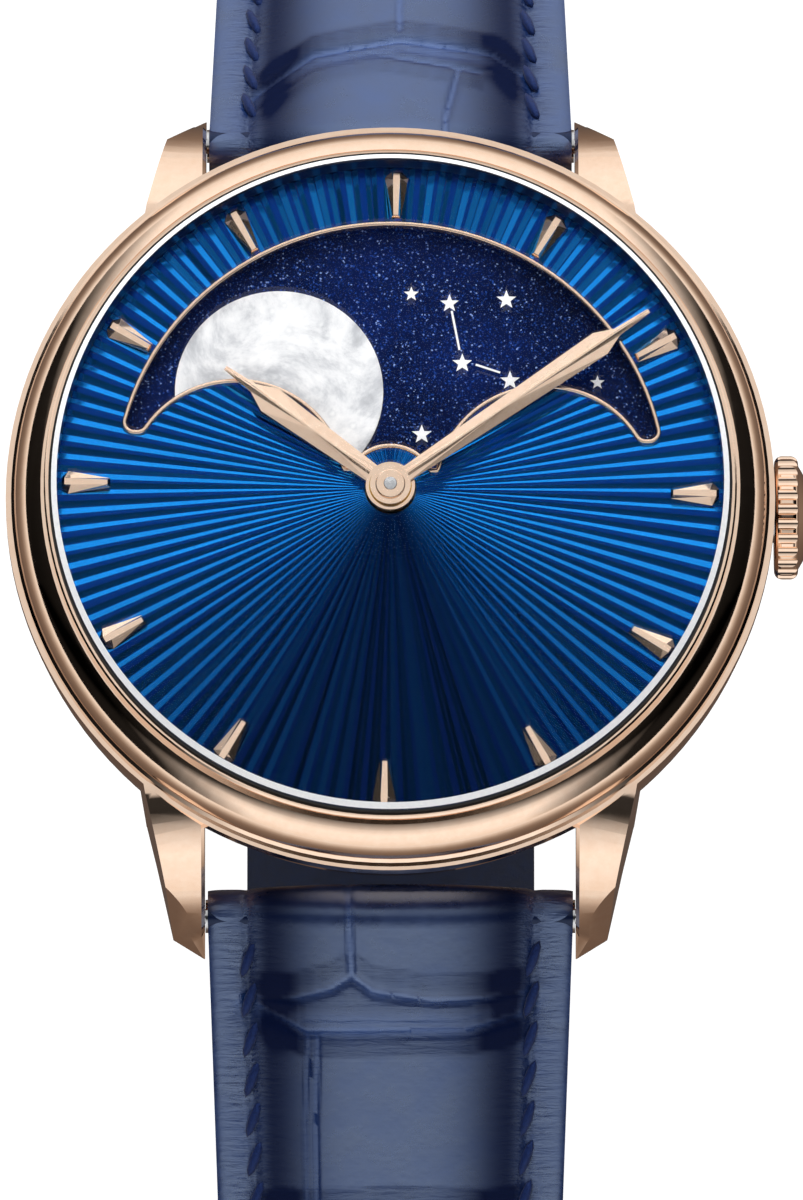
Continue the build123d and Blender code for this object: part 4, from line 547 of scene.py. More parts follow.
def mesh_piece(name: str, points: list, faces: list) -> Piece:
    """Makes a piece from points in metres and faces."""
    mesh = bpy.data.meshes.new(name)
    mesh.from_pydata(points, [], faces)
    mesh.update()
    return add_object(name, mesh)


def place(piece: Piece, body: str, slot: str, *nodes: str) -> Piece:
    """Rides a piece on its body and stands it for its CAD nodes."""
    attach(piece, body)
    if nodes:
        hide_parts(*nodes)
    log.info("%s rides on %s, %d faces", piece.name, body, len(piece.data.polygons))
    return piece


@dataclass
class FlutedDial:
    """The cut dial: straight flutes from rim to hub, each a flat between two steep facets."""

    level_mm: float = 10.1
    floor_mm: float = 9.72
    radius_mm: float = 18.4
    hub_mm: float = 0.9
    flutes: int = 108
    depth_mm: float = 0.125
    facet_share: tuple = (0.26, 0.36)
    valley_share: tuple = (0.05, 0.09)
    flat_normal: float = 0.99996
    valley_normal: float = 0.999
    seed: int = 7

    def rim(self) -> list[tuple[float, float]]:
        """Gives the rim's corners, four to a flute.

        Returns:
            The angle in radians and the height above the valleys, as a share, of each corner.
        """
        chance = random.Random(self.seed)
        pitch = 2 * math.pi / self.flutes
        corners = []
        for flute in range(self.flutes):
            rise = chance.uniform(*self.facet_share)
            fall = chance.uniform(*self.facet_share)
            floor = chance.uniform(*self.valley_share)
            start = flute * pitch
            corners += [
                (start, 0.0),
                (start + pitch * floor, 0.0),
                (start + pitch * (floor + rise), 1.0),
                (start + pitch * (1 - fall), 1.0),
            ]
        return corners

    def build(self) -> Piece:
        """Cuts the flutes, then trims them to the CAD dial's outline and window."""
        clear_selection()
        corners = self.rim()
        bpy.ops.mesh.primitive_circle_add(vertices=len(corners), radius=self.radius_mm * MM)
        piece = new_piece("fluted_dial")
        for vertex, (angle, height) in zip(piece.data.vertices, corners):
            vertex.co = (
                self.radius_mm * MM * math.cos(angle),
                self.radius_mm * MM * math.sin(angle),
                (self.level_mm - self.depth_mm * (1 - height)) * MM,
            )
        centre = (0, 0, self.level_mm * MM)
        start_shaping(piece)
        bpy.ops.mesh.extrude_edges_move()
        bpy.ops.transform.resize(value=[self.hub_mm / self.radius_mm] * 3, center_override=centre)
        bpy.ops.mesh.edge_face_add()
        self.select_rim(piece)
        bpy.ops.mesh.extrude_edges_move()
        bpy.ops.transform.resize(value=(1, 1, 0), center_override=(0, 0, self.floor_mm * MM))
        bpy.ops.mesh.edge_face_add()
        close_up(piece)
        self.trim(piece)
        DIAL_BLUE.dress(piece)
        piece.data.materials.append(DIAL_PAINTED_SHADE_FLATS.material())
        piece.data.materials.append(DIAL_PAINTED_SHADE_GROOVES.material())
        # Painted shade: flats get a darker copy of the film, groove bottoms and steep walls a darker one still, by
        # which way each face points
        for face in piece.data.polygons:
            if face.normal.z > self.flat_normal:
                face.material_index = 1
            elif face.normal.z > self.valley_normal or face.normal.z < 0.5:
                face.material_index = 2
        return place(piece, "root", "dial_blue", "dial")

    def select_rim(self, piece: Piece) -> None:
        """Selects the outer ring of edges."""
        bpy.ops.mesh.select_all(action="DESELECT")
        shape = bmesh.from_edit_mesh(piece.data)
        for edge in shape.edges:
            if all(v.co.xy.length > (self.radius_mm - 0.01) * MM for v in edge.verts):
                edge.select_set(True)
        bmesh.update_edit_mesh(piece.data)

    def trim(self, piece: Piece) -> None:
        """Keeps only what is inside the CAD dial seen from above."""
        cutter = copy_of("dial", "dial_cutter")
        middle = (self.level_mm + self.floor_mm) / 2 * MM
        for vertex in cutter.data.vertices:
            vertex.co.z = middle + (vertex.co.z - middle) * 5
        cut_with(piece, [cutter], "INTERSECT")
        select_only(piece)
        bpy.ops.object.shade_flat()


@dataclass
class Crystal:
    """The sapphire over the dial: a flat disc whose bevel is painted white, a painted reflection of the room, and
    reads as a white ring.
    """

    radius_mm: float = 18.26
    low_mm: float = 11.18
    high_mm: float = 12.0
    bevel_mm: float = 0.3

    def build(self) -> Piece:
        """Extrudes the disc, draws its bevel in and paints the bevel's faces white as the room's reflection."""
        clear_selection()
        bpy.ops.mesh.primitive_circle_add(
            vertices=256, radius=self.radius_mm * MM, fill_type="NGON", location=(0, 0, self.low_mm * MM)
        )
        piece = new_piece("domed_crystal")
        start_shaping(piece)
        wall = self.high_mm - self.bevel_mm - self.low_mm
        extrude_up(wall)
        extrude_up(self.bevel_mm)
        share = (self.radius_mm - self.bevel_mm) / self.radius_mm
        bpy.ops.transform.resize(value=(share, share, 1), center_override=(0, 0, self.high_mm * MM))
        close_up(piece, 20)
        SAPPHIRE.dress(piece)
        piece.data.materials.append(SAPPHIRE_BEVEL_PAINTED_REFLECTION.material())
        # Painted reflection: the bevel's faces get plain white in place of the room they would show
        for face in piece.data.polygons:
            if 0.2 < face.normal.z < 0.95:
                face.material_index = 1
        return place(piece, "root", "sapphire", "crystal")


@dataclass
class StarField:
    """White stars printed on the sky disc, some of them joined by fine lines."""

    level_mm: float = 9.05
    rise_mm: float = 0.03
    waist: float = 0.42
    line_mm: float = 0.11
    stars: tuple = (
        (1.13, 11.15, 0.42),
        (3.19, 10.62, 0.52),
        (6.26, 10.83, 0.55),
        (3.88, 7.27, 0.55),
        (6.45, 6.3, 0.55),
        (11.17, 6.19, 0.4),
        (1.69, 3.29, 0.55),
    )
    lines: tuple = ((3.31, 10.2, 3.73, 8.02), (4.6, 7.2, 5.93, 6.75))

    def star(self, x: float, y: float, size: float) -> Piece:
        """Draws one five-pointed star in from a ring and gives it its ink's height."""
        clear_selection()
        bpy.ops.mesh.primitive_circle_add(
            vertices=10, radius=size * MM, fill_type="NGON", location=(x * MM, y * MM, self.level_mm * MM)
        )
        piece = new_piece("star")
        for vertex in piece.data.vertices:
            if vertex.index % 2:
                vertex.co.x = (x + (vertex.co.x / MM - x) * self.waist) * MM
                vertex.co.y = (y + (vertex.co.y / MM - y) * self.waist) * MM
        start_shaping(piece)
        extrude_up(self.rise_mm)
        return close_up(piece)

    def line(self, x0: float, y0: float, x1: float, y1: float) -> Piece:
        """Draws one thin line between two stars."""
        clear_selection()
        length = math.hypot(x1 - x0, y1 - y0)
        middle = ((x0 + x1) / 2 * MM, (y0 + y1) / 2 * MM, self.level_mm * MM)
        bpy.ops.mesh.primitive_plane_add(size=1, location=middle, rotation=(0, 0, math.atan2(y1 - y0, x1 - x0)))
        bpy.context.object.scale = (length * MM, self.line_mm * MM, 1)
        piece = new_piece("star_line")
        start_shaping(piece)
        extrude_up(self.rise_mm)
        return close_up(piece)

    def build(self) -> Piece:
        """Prints both halves of the sky, so that stars follow the second moon too."""
        drawn = []
        for half in (1, -1):
            drawn += [self.star(half * x, half * y, size) for x, y, size in self.stars]
            drawn += [self.line(*[half * value for value in line]) for line in self.lines]
        piece = join(drawn, "printed_stars")
        INK.dress(piece)
        return place(piece, "moon", "mother_of_pearl")


def join(pieces: list[Piece], name: str) -> Piece:
    """Joins pieces into one with its own mesh."""
    clear_selection()
    for piece in pieces:
        piece.select_set(True)
    bpy.context.view_layer.objects.active = pieces[0]
    bpy.ops.object.join()
    joined = bpy.context.object
    joined.name = name
    joined.data.name = name
    return joined


@dataclass
class StrapHalf:
    """One half of the strap: its route from the lug bar, its padding, folds and stitches."""

    name: str
    side: int
    first_bend: float
    drop_run: float
    floor_bend: float
    foot: float
    folds: tuple
    holes: int = 0
    bar_reach: float = 21.6
    bar_level: float = 1.5
    slope: float = math.radians(31.0)
    first_run: float = 18.0
    width: float = 19.7
    end_width: float = 16.0
    taper: float = 57.0
    padding: float = 34.0
    edge_heights: tuple = (0.95, 0.75)
    crown_heights: tuple = (1.78, 1.12)
    under_depths: tuple = (0.45, 0.1)
    seam_rise: float = 0.06
    edge_drop: float = 0.16
    groove: tuple = (0.1, 0.28)
    bar_outer: float = 1.72
    bar_inner: float = 1.0
    bar_wrap: float = 5.4
    bar_fold: float = 0.3
    edge_fade: tuple = (1.2, 0.25)
    swell: tuple = (2.6, 0.75)
    bunching: float = 0.35
    pinch: float = 0.03
    pinch_run: float = 0.12
    near_rows: int = 6
    # How strong the painted shade is just inside the seams and how far it runs, beside the folds and on the
    # underside
    seam_painted_shade: float = 0.94
    seam_shade_runs: tuple = (0.26, 0.11)
    fold_crease: float = 0.6
    fold_painted_shade: float = 0.4
    underside_painted_shade: float = 0.85
    stitch_inset: float = 2.1
    stitch_pitch: float = 2.25
    tail_point: float = 7.0
    tail_half: float = 2.6
    hole_first: float = 16.0
    hole_pitch: float = 6.0
    hole_radius: float = 0.9
    pin_radius: float = 0.75
    pin_play: float = 0.04
    loop_radius: float = 1.22
    slot: tuple = (2.1, 2.4)
    fold_mm: float = 0.34
    lining: float = 1.0
    lining_start: float = 3.0
    lining_seat: float = 0.03
    stitch_size: tuple = (0.29, 1.12, 0.3)
    stitch_slant: float = math.radians(19)
    stitch_rise: float = 0.1
    stitch_ends: tuple = (1.0, 3.0)
    wraps: int = 14
    across: int = 130
    step: float = 0.22

    def __post_init__(self) -> None:
        """Lays out the route's runs."""
        runs = (
            (self.first_run, 0.0),
            (self.first_bend * (math.pi / 2 - self.slope), self.first_bend),
            (self.drop_run, 0.0),
            (self.floor_bend * math.pi / 2, self.floor_bend),
            (self.foot, 0.0),
        )
        self.runs = [run for run in runs if run[0] > 0]
        self.length = sum(run[0] for run in self.runs)

    def route(self, distance: float) -> tuple[float, float, float]:
        """Gives the reach, level and slope of the strap's middle line.

        Args:
            distance: How far along the strap from the lug bar, in mm.

        Returns:
            The reach from the case's middle, the level and the angle in radians.
        """
        reach, level, angle = self.bar_reach, self.bar_level, self.slope
        if distance < 0:
            return reach + distance * math.cos(angle), level - distance * math.sin(angle), angle
        left = distance
        for length, radius in self.runs:
            run = min(left, length)
            if radius:
                turned = angle + run / radius
                reach += radius * (math.sin(turned) - math.sin(angle))
                level -= radius * (math.cos(angle) - math.cos(turned))
                angle = turned
            else:
                reach += run * math.cos(angle)
                level -= run * math.sin(angle)
            left -= run
            if left <= 0:
                break
        return reach, level, angle

    def point(self, distance: float, across: float, height: float) -> tuple[float, float, float]:
        """Gives a place in metres from a place on the strap in mm."""
        reach, level, angle = self.route(distance)
        y = self.side * (reach + height * math.sin(angle))
        return (across * MM, y * MM, (level + height * math.cos(angle)) * MM)

    def share(self, distance: float, first: float, last: float, run: float) -> float:
        """Changes evenly from a first to a last value over a run from the bar."""
        return first + (last - first) * min(1.0, max(0.0, distance / run))

    def half_width(self, distance: float) -> float:
        """Gives half the strap's width, rounded to a point at the end of the half with holes."""
        half = self.share(distance, self.width, self.end_width, self.taper) / 2
        left = max(0.0, self.length - distance) / self.tail_point
        if self.holes and left < 1:
            half = self.tail_half + (half - self.tail_half) * math.sqrt(1 - (1 - left) ** 2)
        return half

    def edge_height(self, distance: float) -> float:
        """Gives how high the leather's top edge stands over the route."""
        return self.share(distance, *self.edge_heights, self.padding)

    def crown_height(self, distance: float) -> float:
        """Gives how high the padding's crown stands over the route."""
        return self.share(distance, *self.crown_heights, self.padding)

    def under(self, distance: float) -> float:
        """Gives how low the leather's underside lies under the route."""
        return self.share(distance, *self.under_depths, self.padding)

    def fold_depth(self, distance: np.ndarray, across: np.ndarray) -> np.ndarray:
        """Gives how deep the hide's folds cut at places on the strap.

        Args:
            distance: Distances along the strap in mm.
            across: Places across it in mm.

        Returns:
            The depth at each place as a share of the deepest fold.
        """
        depth = np.zeros(distance.shape)
        for start, end, deep, wide in self.folds:
            along = np.array(end) - np.array(start)
            span = max(float(along @ along), 1e-9)
            t = ((distance - start[0]) * along[0] + (across - start[1]) * along[1]) / span
            t = np.clip(t, 0, 1)
            gap = np.hypot(distance - start[0] - t * along[0], across - start[1] - t * along[1])
            depth = np.maximum(depth, deep * np.exp(-((gap / wide) ** 2)))
        return depth

    def top_heights(self, distance: float, across: np.ndarray) -> np.ndarray:
        """Gives the plain padded section, before its folds, at one distance."""
        half = self.half_width(distance)
        seam = half - self.stitch_inset
        edge, crown = self.edge_height(distance), self.crown_height(distance)
        inside = np.clip(1 - np.abs(across) / seam, 0, 1)
        swell = (1 - (1 - inside) ** self.swell[0]) ** self.swell[1]
        rise = self.seam_rise
        heights = edge + rise + (crown - edge - rise) * swell
        outer = np.clip((np.abs(across) - seam) / self.stitch_inset, 0, 1)
        rounded = edge + rise * (1 - outer**3) - self.edge_drop * outer**6
        heights = np.where(np.abs(across) > seam, rounded, heights)
        deep, wide = self.groove
        return heights - deep * np.exp(-(((np.abs(across) - seam) / wide) ** 2))

    def curl(self, distance: float, turn: float, heights: np.ndarray) -> list:
        """Gives one row of points round the bar at one end of the strap.

        Args:
            distance: Where that end lies along the strap, in mm.
            turn: How far round the bar the row lies.
            heights: The row's distances from the bar's axis.

        Returns:
            The row's points in metres.
        """
        reach, level, angle = self.route(distance)
        angle, half = angle + turn, self.half_width(distance)
        across = self.unit() * half if len(heights) == self.across else np.linspace(-half, half, len(heights))
        return [
            (x * MM, self.side * (reach + r * math.sin(angle)) * MM, (level + r * math.cos(angle)) * MM)
            for x, r in zip(across, heights)
        ]

    def unit(self) -> np.ndarray:
        """Gives the row's places from -1 to 1, closer together near the edges."""
        even = np.linspace(-1, 1, self.across)
        return self.bunching * np.sin(even * math.pi / 2) + (1 - self.bunching) * even

    def leather_rows(self) -> list[tuple]:
        """Lays out the outer leather, round its lug bar and down to its end.

        Returns:
            For each row the points of its top, those of its underside, and how deep its folds are.
        """
        rows, end = [], self.length
        half = self.half_width(0.0)
        plain = self.top_heights(0.0, self.unit() * half)
        inner = np.full(5, self.bar_inner)
        for index in range(self.wraps, 0, -1):
            share = index / self.wraps
            cut = self.fold_depth(np.full(self.across, -self.bar_wrap * share), self.unit() * half)
            heights = plain * (1 - share) + self.bar_outer * share - self.bar_fold * cut * (1 - share)
            rows.append((self.curl(0.0, -math.pi * share, heights), self.curl(0.0, -math.pi * share, inner), cut))
        for distance in np.arange(0.0, end + 1e-6, self.step):
            half = self.half_width(distance)
            across = self.unit() * half
            cut = self.fold_depth(np.full(self.across, distance), across)
            fade = np.clip((half - np.abs(across)) / self.edge_fade[0], self.edge_fade[1], 1)
            heights = self.top_heights(distance, across) - self.fold_mm * cut * fade
            low = -self.under(distance)
            if distance <= self.lining_start:
                low = self.share(distance, self.bar_inner, -self.under_depths[0], self.lining_start)
            top = [self.point(distance, x, h) for x, h in zip(across, heights)]
            rows.append((top, [self.point(distance, x, low) for x in np.linspace(-half, half, 5)], cut))
        if not self.holes:
            plain = self.top_heights(end, self.unit() * self.half_width(end))
            inner = np.full(5, self.pin_radius + self.pin_play)
            flat = np.zeros(self.across)
            for index in range(1, self.wraps + 1):
                share = index / self.wraps
                heights = plain * (1 - share) + self.loop_radius * share
                rows.append((self.curl(end, math.pi * share, heights), self.curl(end, math.pi * share, inner), flat))
        return rows

    def build_leather(self) -> Piece:
        """Makes the padded outer leather, with its dye, creases and painted shade as attributes."""
        rows = self.leather_rows()
        folds = [cut for top, bottom, cut in rows]
        points, dye, creases, painted_shade_masks = [], [], [], []
        seam = 1 - 2 * self.stitch_inset / self.width
        past = np.abs(self.unit()) - seam
        pinch = self.pinch + (1 - self.pinch) * np.exp(-((past / self.pinch_run) ** 2))
        # Painted shade: darkest just inside each seam, where the padding turns away from the light
        beyond = past + self.pinch_run
        seam_painted_shade = self.seam_painted_shade * np.exp(-((beyond / np.where(beyond < 0, *self.seam_shade_runs)) ** 2))
        for index, (top, bottom, cut) in enumerate(rows):
            points += top + bottom[::-1]
            dye += list(cut) + [0.0] * 5
            near = np.max(folds[max(0, index - self.near_rows) : index + self.near_rows + 1], axis=0)
            creases += list(np.clip(pinch + self.fold_crease * near**2, 0, 1)) + [0.0] * 5
            # More painted shade beside each fold; the underside rows get an even painted shade
            beside = np.clip(near - cut, 0, 1)
            painted_shade_masks += list(np.clip(seam_painted_shade + self.fold_painted_shade * beside, 0, 1)) + [self.underside_painted_shade] * 5
        piece = mesh_piece(f"{self.name}_hide", points, rows_of_faces(len(rows), self.across + 5))
        for name, values in (("fold", dye), ("crease", creases), ("tone", painted_shade_masks)):
            layer = piece.data.attributes.new(name, "FLOAT", "POINT")
            layer.data.foreach_set("value", np.array(values, np.float32))
        return piece

    def punch(self, piece: Piece) -> None:
        """Cuts the tang holes, or the tang's slot at the buckle, through a piece."""
        clear_selection()
        cutters = []
        for index in range(self.holes):
            distance = self.length - self.hole_first - self.hole_pitch * index
            spot = Vector(self.point(distance, 0, 0))
            out = Vector(self.point(distance, 0, 1)) - spot
            bpy.ops.mesh.primitive_cylinder_add(
                vertices=32, radius=self.hole_radius * MM, depth=8 * MM, location=spot,
                rotation=out.to_track_quat("Z", "Y").to_euler(),
            )
            cutters.append(new_piece("punch"))
            clear_selection()
        if not self.holes:
            width, depth = self.slot
            bpy.ops.mesh.primitive_cube_add(size=1, location=self.point(self.length + 1.0 - depth / 2, 0, 0))
            bpy.context.object.scale = (width * MM, (depth + 2.6) * MM, 6 * MM)
            cutters.append(new_piece("punch"))
        cut_with(piece, cutters)

    def build_lining(self) -> Piece:
        """Makes the calf lining with softly rounded edges."""
        marks = np.linspace(self.lining_start, self.length, 90)
        points, section = [], 22
        for distance in marks:
            half = self.half_width(distance)
            top = -self.under(distance) - self.lining_seat
            ring = []
            for x in np.linspace(-half, half, section // 2):
                ring.append((x, top))
            for x in np.linspace(half, -half, section // 2):
                soft = 0.22 * (abs(x) / half) ** 12
                ring.append((x * (1 - 0.004 * (abs(x) / half) ** 8), top - self.lining + soft))
            points += [self.point(distance, x, h) for x, h in ring]
        return mesh_piece(f"{self.name}_calf", points, rows_of_faces(len(marks), section))

    def build_stitches(self) -> Piece:
        """Lays one slanted stitch after another down both seams."""
        clear_selection()
        bpy.ops.mesh.primitive_uv_sphere_add(segments=8, ring_count=6, radius=1.0)
        bpy.context.object.scale = [size * MM for size in self.stitch_size]
        model = new_piece("stitch")
        first, left = self.stitch_ends
        count = int((self.length - left - first) / self.stitch_pitch)
        copies = []
        for seam_side in (-1, 1):
            for index in range(count):
                distance = first + (index + 0.5) * self.stitch_pitch
                seam = self.half_width(distance) - self.stitch_inset
                height = float(self.top_heights(distance, np.array([seam]))[0]) + self.stitch_rise
                ahead = Vector(self.point(distance + 0.5, 0, 0)) - Vector(self.point(distance - 0.5, 0, 0))
                ahead.normalize()
                out = Vector(self.point(distance, 0, 1)) - Vector(self.point(distance, 0, 0))
                out.normalize()
                right = ahead.cross(out)
                turn = Matrix((right, ahead, out)).transposed().to_4x4()
                slant = Matrix.Rotation(self.stitch_slant * self.side, 4, "Z")
                spot = Matrix.Translation(self.point(distance, seam_side * seam, height))
                copies.append(add_copy(model, spot @ turn @ slant))
        bpy.data.objects.remove(model)
        piece = join(copies, f"{self.name}_stitches")
        select_only(piece)
        bpy.ops.object.shade_smooth()
        return piece


def folds_from(lines: list, deep: float, wide: float) -> list:
    """Turns lines of places into single folds.

    Args:
        lines: Lists of (distance, across) places in mm.
        deep: How deep the folds are, as a share of the deepest.
        wide: How wide they are in mm.

    Returns:
        One (start, end, depth, width) for each run of each line.
    """
    return [(a, b, deep, wide) for line in lines for a, b in zip(line, line[1:])]


def random_folds(first: float, last: float, half: float, seed: int) -> list:
    """Lays rows of large square scales: a wavy fold across, then folds along between rows.

    Args:
        first: Where the rows start, in mm from the bar.
        last: Where they end.
        half: How far from the middle the folds reach.
        seed: The seed of their places.

    Returns:
        The folds.
    """
    chance = random.Random(seed)
    folds, distance, before = [], first, None
    while distance < last:
        tilt, bow = chance.uniform(-0.9, 0.9), chance.uniform(-0.8, 0.8)
        line = [
            (distance + tilt * u / half + bow * (u / half) ** 2 + chance.uniform(-0.25, 0.25), u)
            for u in np.linspace(-half, half, 9)
        ]
        folds += folds_from([line], chance.uniform(0.6, 0.85), chance.uniform(0.2, 0.28))
        if before is not None:
            for u in chance.choice(((-4.2, 3.6), (-1.2,), (0.9, 5.2), (-5.0, 0.4), (2.6,))):
                u += chance.uniform(-0.5, 0.5)
                sway = chance.uniform(-0.5, 0.5)
                middle = ((before + distance) / 2, u + sway)
                folds += folds_from([[(before, u), middle, (distance, u + sway / 2)]], 0.6, 0.18)
        before = distance
        distance += chance.uniform(8.5, 11.5)
    return folds


@dataclass
class Strap:
    """Both strap halves with their stitches and keepers."""

    keeper_mm: float = 0.9
    keeper_edge: tuple = ((0.0, 0.0), (0.0, 0.78), (0.06, 0.94), (0.16, 1.0))
    fixed_keeper: tuple = (2.0, 3.6)
    free_keeper: tuple = (41.092, 5.0)
    play_mm: float = 0.12
    travel_mm: float = 2.0

    def halves(self) -> tuple[StrapHalf, StrapHalf]:
        """Gives the long and the short half with the photographed folds near the case."""
        lower = folds_from(
            [
                [(-3.5, -2.3), (0.5, -2.2), (2.9, -2.1)],
                [(2.9, -2.1), (3.65, -3.25), (4.2, -5.2), (4.3, -7.8)],
                [(2.9, -2.1), (3.8, -0.94), (4.3, 2.3), (4.2, 5.0), (3.9, 7.6)],
            ],
            0.55,
            0.2,
        )
        lower += folds_from([[(4.3, -7.9), (6.05, -4.5), (5.98, 0.1), (5.9, 4.2), (5.0, 7.6)]], 0.8, 0.26)
        lower += folds_from([[(4.7, -7.9), (5.4, -5.5), (5.5, 0.1), (5.4, 4.2), (4.6, 7.6)]], 0.45, 0.6)
        pair = [[(6.2, -4.45), (11.0, -4.6), (16.2, -4.5)], [(6.3, -3.95), (11.0, -4.05), (16.2, -4.0)]]
        lower += folds_from(pair, 0.5, 0.18)
        lower += random_folds(16.4, 92.0, 7.6, 11)
        upper = folds_from([[(2.7, -7.6), (5.7, -4.2), (6.8, 0.5), (5.9, 5.6), (4.2, 7.6)]], 0.8, 0.26)
        upper += folds_from([[(2.2, -7.6), (5.1, -4.2), (6.2, 0.5), (5.3, 5.6), (3.6, 7.6)]], 0.45, 0.6)
        upper += folds_from(
            [
                [(12.0, 0.6), (9.4, 0.5), (7.6, 0.5)],
                [(5.7, -1.1), (4.7, 3.4), (4.4, 3.7), (0.5, 3.0), (-2.5, 3.0)],
                [(4.7, 3.4), (4.3, 4.9)],
            ],
            0.5,
            0.17,
        )
        upper += random_folds(16.0, 66.0, 7.6, 23)
        long_half = StrapHalf(
            "strap_long", -1, first_bend=24.0, drop_run=0.0, floor_bend=18.0, foot=42.47, holes=7, folds=tuple(lower)
        )
        short_half = StrapHalf(
            "strap_short", 1, first_bend=18.0, drop_run=9.1177, floor_bend=13.0, foot=8.0, folds=tuple(upper)
        )
        return long_half, short_half

    def keeper(self, half: StrapHalf, name: str, middle: float, width: float) -> Piece:
        """Makes one leather loop round a strap half.

        Args:
            half: The strap half that it goes round.
            name: The keeper's name.
            middle: Where its middle sits along the strap, in mm.
            width: Its width along the strap, in mm.

        Returns:
            The keeper, with softly rounded edges.
        """
        first = middle - width / 2
        inner = half.half_width(first - self.travel_mm) + self.play_mm
        low = -half.under(middle) - half.lining - half.lining_seat - self.play_mm
        high = half.crown_height(middle) - 0.02 + self.play_mm
        reach, level, angle = half.route(first)
        corners, ring = 8, []
        for x, height, base in ((inner, high, 0), (-inner, high, 90), (-inner, low, 180), (inner, low, 270)):
            for step in range(corners + 1):
                turn = math.radians(base + 90 * step / corners)
                ring.append((x, height, math.cos(turn), math.sin(turn)))
        edge = self.keeper_edge
        shape = edge + tuple((1 - share, out) for share, out in edge[::-1])
        section = [(share * width, out * self.keeper_mm) for share, out in shape]
        points, faces = [], []
        for along, out in section:
            for x, height, across, up in ring:
                px, ph = x + across * out, height + up * out
                r = reach + along * math.cos(angle) + ph * math.sin(angle)
                z = level - along * math.sin(angle) + ph * math.cos(angle)
                points.append((px * MM, half.side * r * MM, z * MM))
        count = len(ring)
        for row in range(len(section)):
            for corner in range(count):
                a, b = row * count + corner, row * count + (corner + 1) % count
                c = ((row + 1) % len(section)) * count
                faces.append((a, b, c + b % count, c + a % count))
        return close_up(mesh_piece(name, points, faces), 50)

    def build(self) -> None:
        """Makes the leather, lining and stitches of both halves, then the keepers."""
        long_half, short_half = self.halves()
        for half in (long_half, short_half):
            leather = half.build_leather()
            close_up(leather, 60)
            half.punch(leather)
            LEATHER.dress(leather)
            place(leather, half.name, "alligator_blue", f"{half.name}_leather")
            lining = half.build_lining()
            close_up(lining, 40)
            half.punch(lining)
            LINING.dress(lining)
            place(lining, half.name, "calf_lining", f"{half.name}_lining")
            stitches = half.build_stitches()
            THREAD.dress(stitches)
            place(stitches, half.name, "alligator_blue")
        past, wide = self.fixed_keeper
        for name, body, middle, width in (
            ("fixed_keeper", "strap_short", short_half.length - short_half.foot + past, wide),
            ("free_keeper", "free_keeper", *self.free_keeper),
        ):
            keeper = self.keeper(short_half, f"{name}_leather", middle, width)
            LEATHER.dress(keeper)
            place(keeper, body, "alligator_blue", name)


@dataclass
class Markers:
    """Twelve applied darts with broad polished flanks and a narrow ridge."""

    inner_mm: float = 15.1
    shoulder_mm: float = 17.35
    outer_mm: float = 17.7
    widths_mm: tuple = (0.27, 0.635, 0.28)
    ridge_mm: tuple = (0.13, 0.19, 0.17)
    inset_mm: float = 0.14
    level_mm: float = 10.1
    height_mm: float = 0.24
    turn: float = math.radians(-1.1)

    def dart(self) -> Piece:
        """Shapes the dart at 3 o'clock: a six-sided foot drawn in to its ridge."""
        clear_selection()
        bpy.ops.mesh.primitive_circle_add(vertices=6, radius=1, fill_type="NGON")
        piece = new_piece("dart")
        reaches = (self.outer_mm, self.shoulder_mm, self.inner_mm)
        sides = self.widths_mm[::-1]
        places = list(zip(reaches, sides)) + [(r, -w) for r, w in zip(reaches[::-1], sides[::-1])]
        order = sorted(piece.data.vertices, key=lambda v: -math.atan2(v.co.y, v.co.x) % math.tau)
        for vertex, (x, y) in zip(order, places):
            vertex.co = (x * MM, -y * MM, self.level_mm * MM)
        start_shaping(piece)
        extrude_up(self.height_mm)
        bpy.ops.object.mode_set(mode="OBJECT")
        ridges = self.ridge_mm[::-1]
        shares = {round(reach, 3): ridge / wide for reach, wide, ridge in zip(reaches, sides, ridges)}
        middle = (self.outer_mm + self.inner_mm) / 2
        for vertex in piece.data.vertices:
            if vertex.co.z > (self.level_mm + self.height_mm / 2) * MM:
                reach = vertex.co.x / MM
                vertex.co.y *= shares[round(reach, 3)]
                vertex.co.x += math.copysign(self.inset_mm, middle - reach) * MM
        return close_up(piece)

    def build(self) -> Piece:
        """Copies the dart to the twelve hours."""
        model = self.dart()
        turns = [self.turn + math.tau * hour / 12 for hour in range(12)]
        copies = [add_copy(model, Matrix.Rotation(turn, 4, "Z")) for turn in turns]
        bpy.data.objects.remove(model)
        piece = join(copies, "faceted_markers")
        select_only(piece)
        bpy.ops.object.shade_flat()
        ROSE_GOLD.dress(piece)
        return place(piece, "root", "rose_gold", "hour_markers")


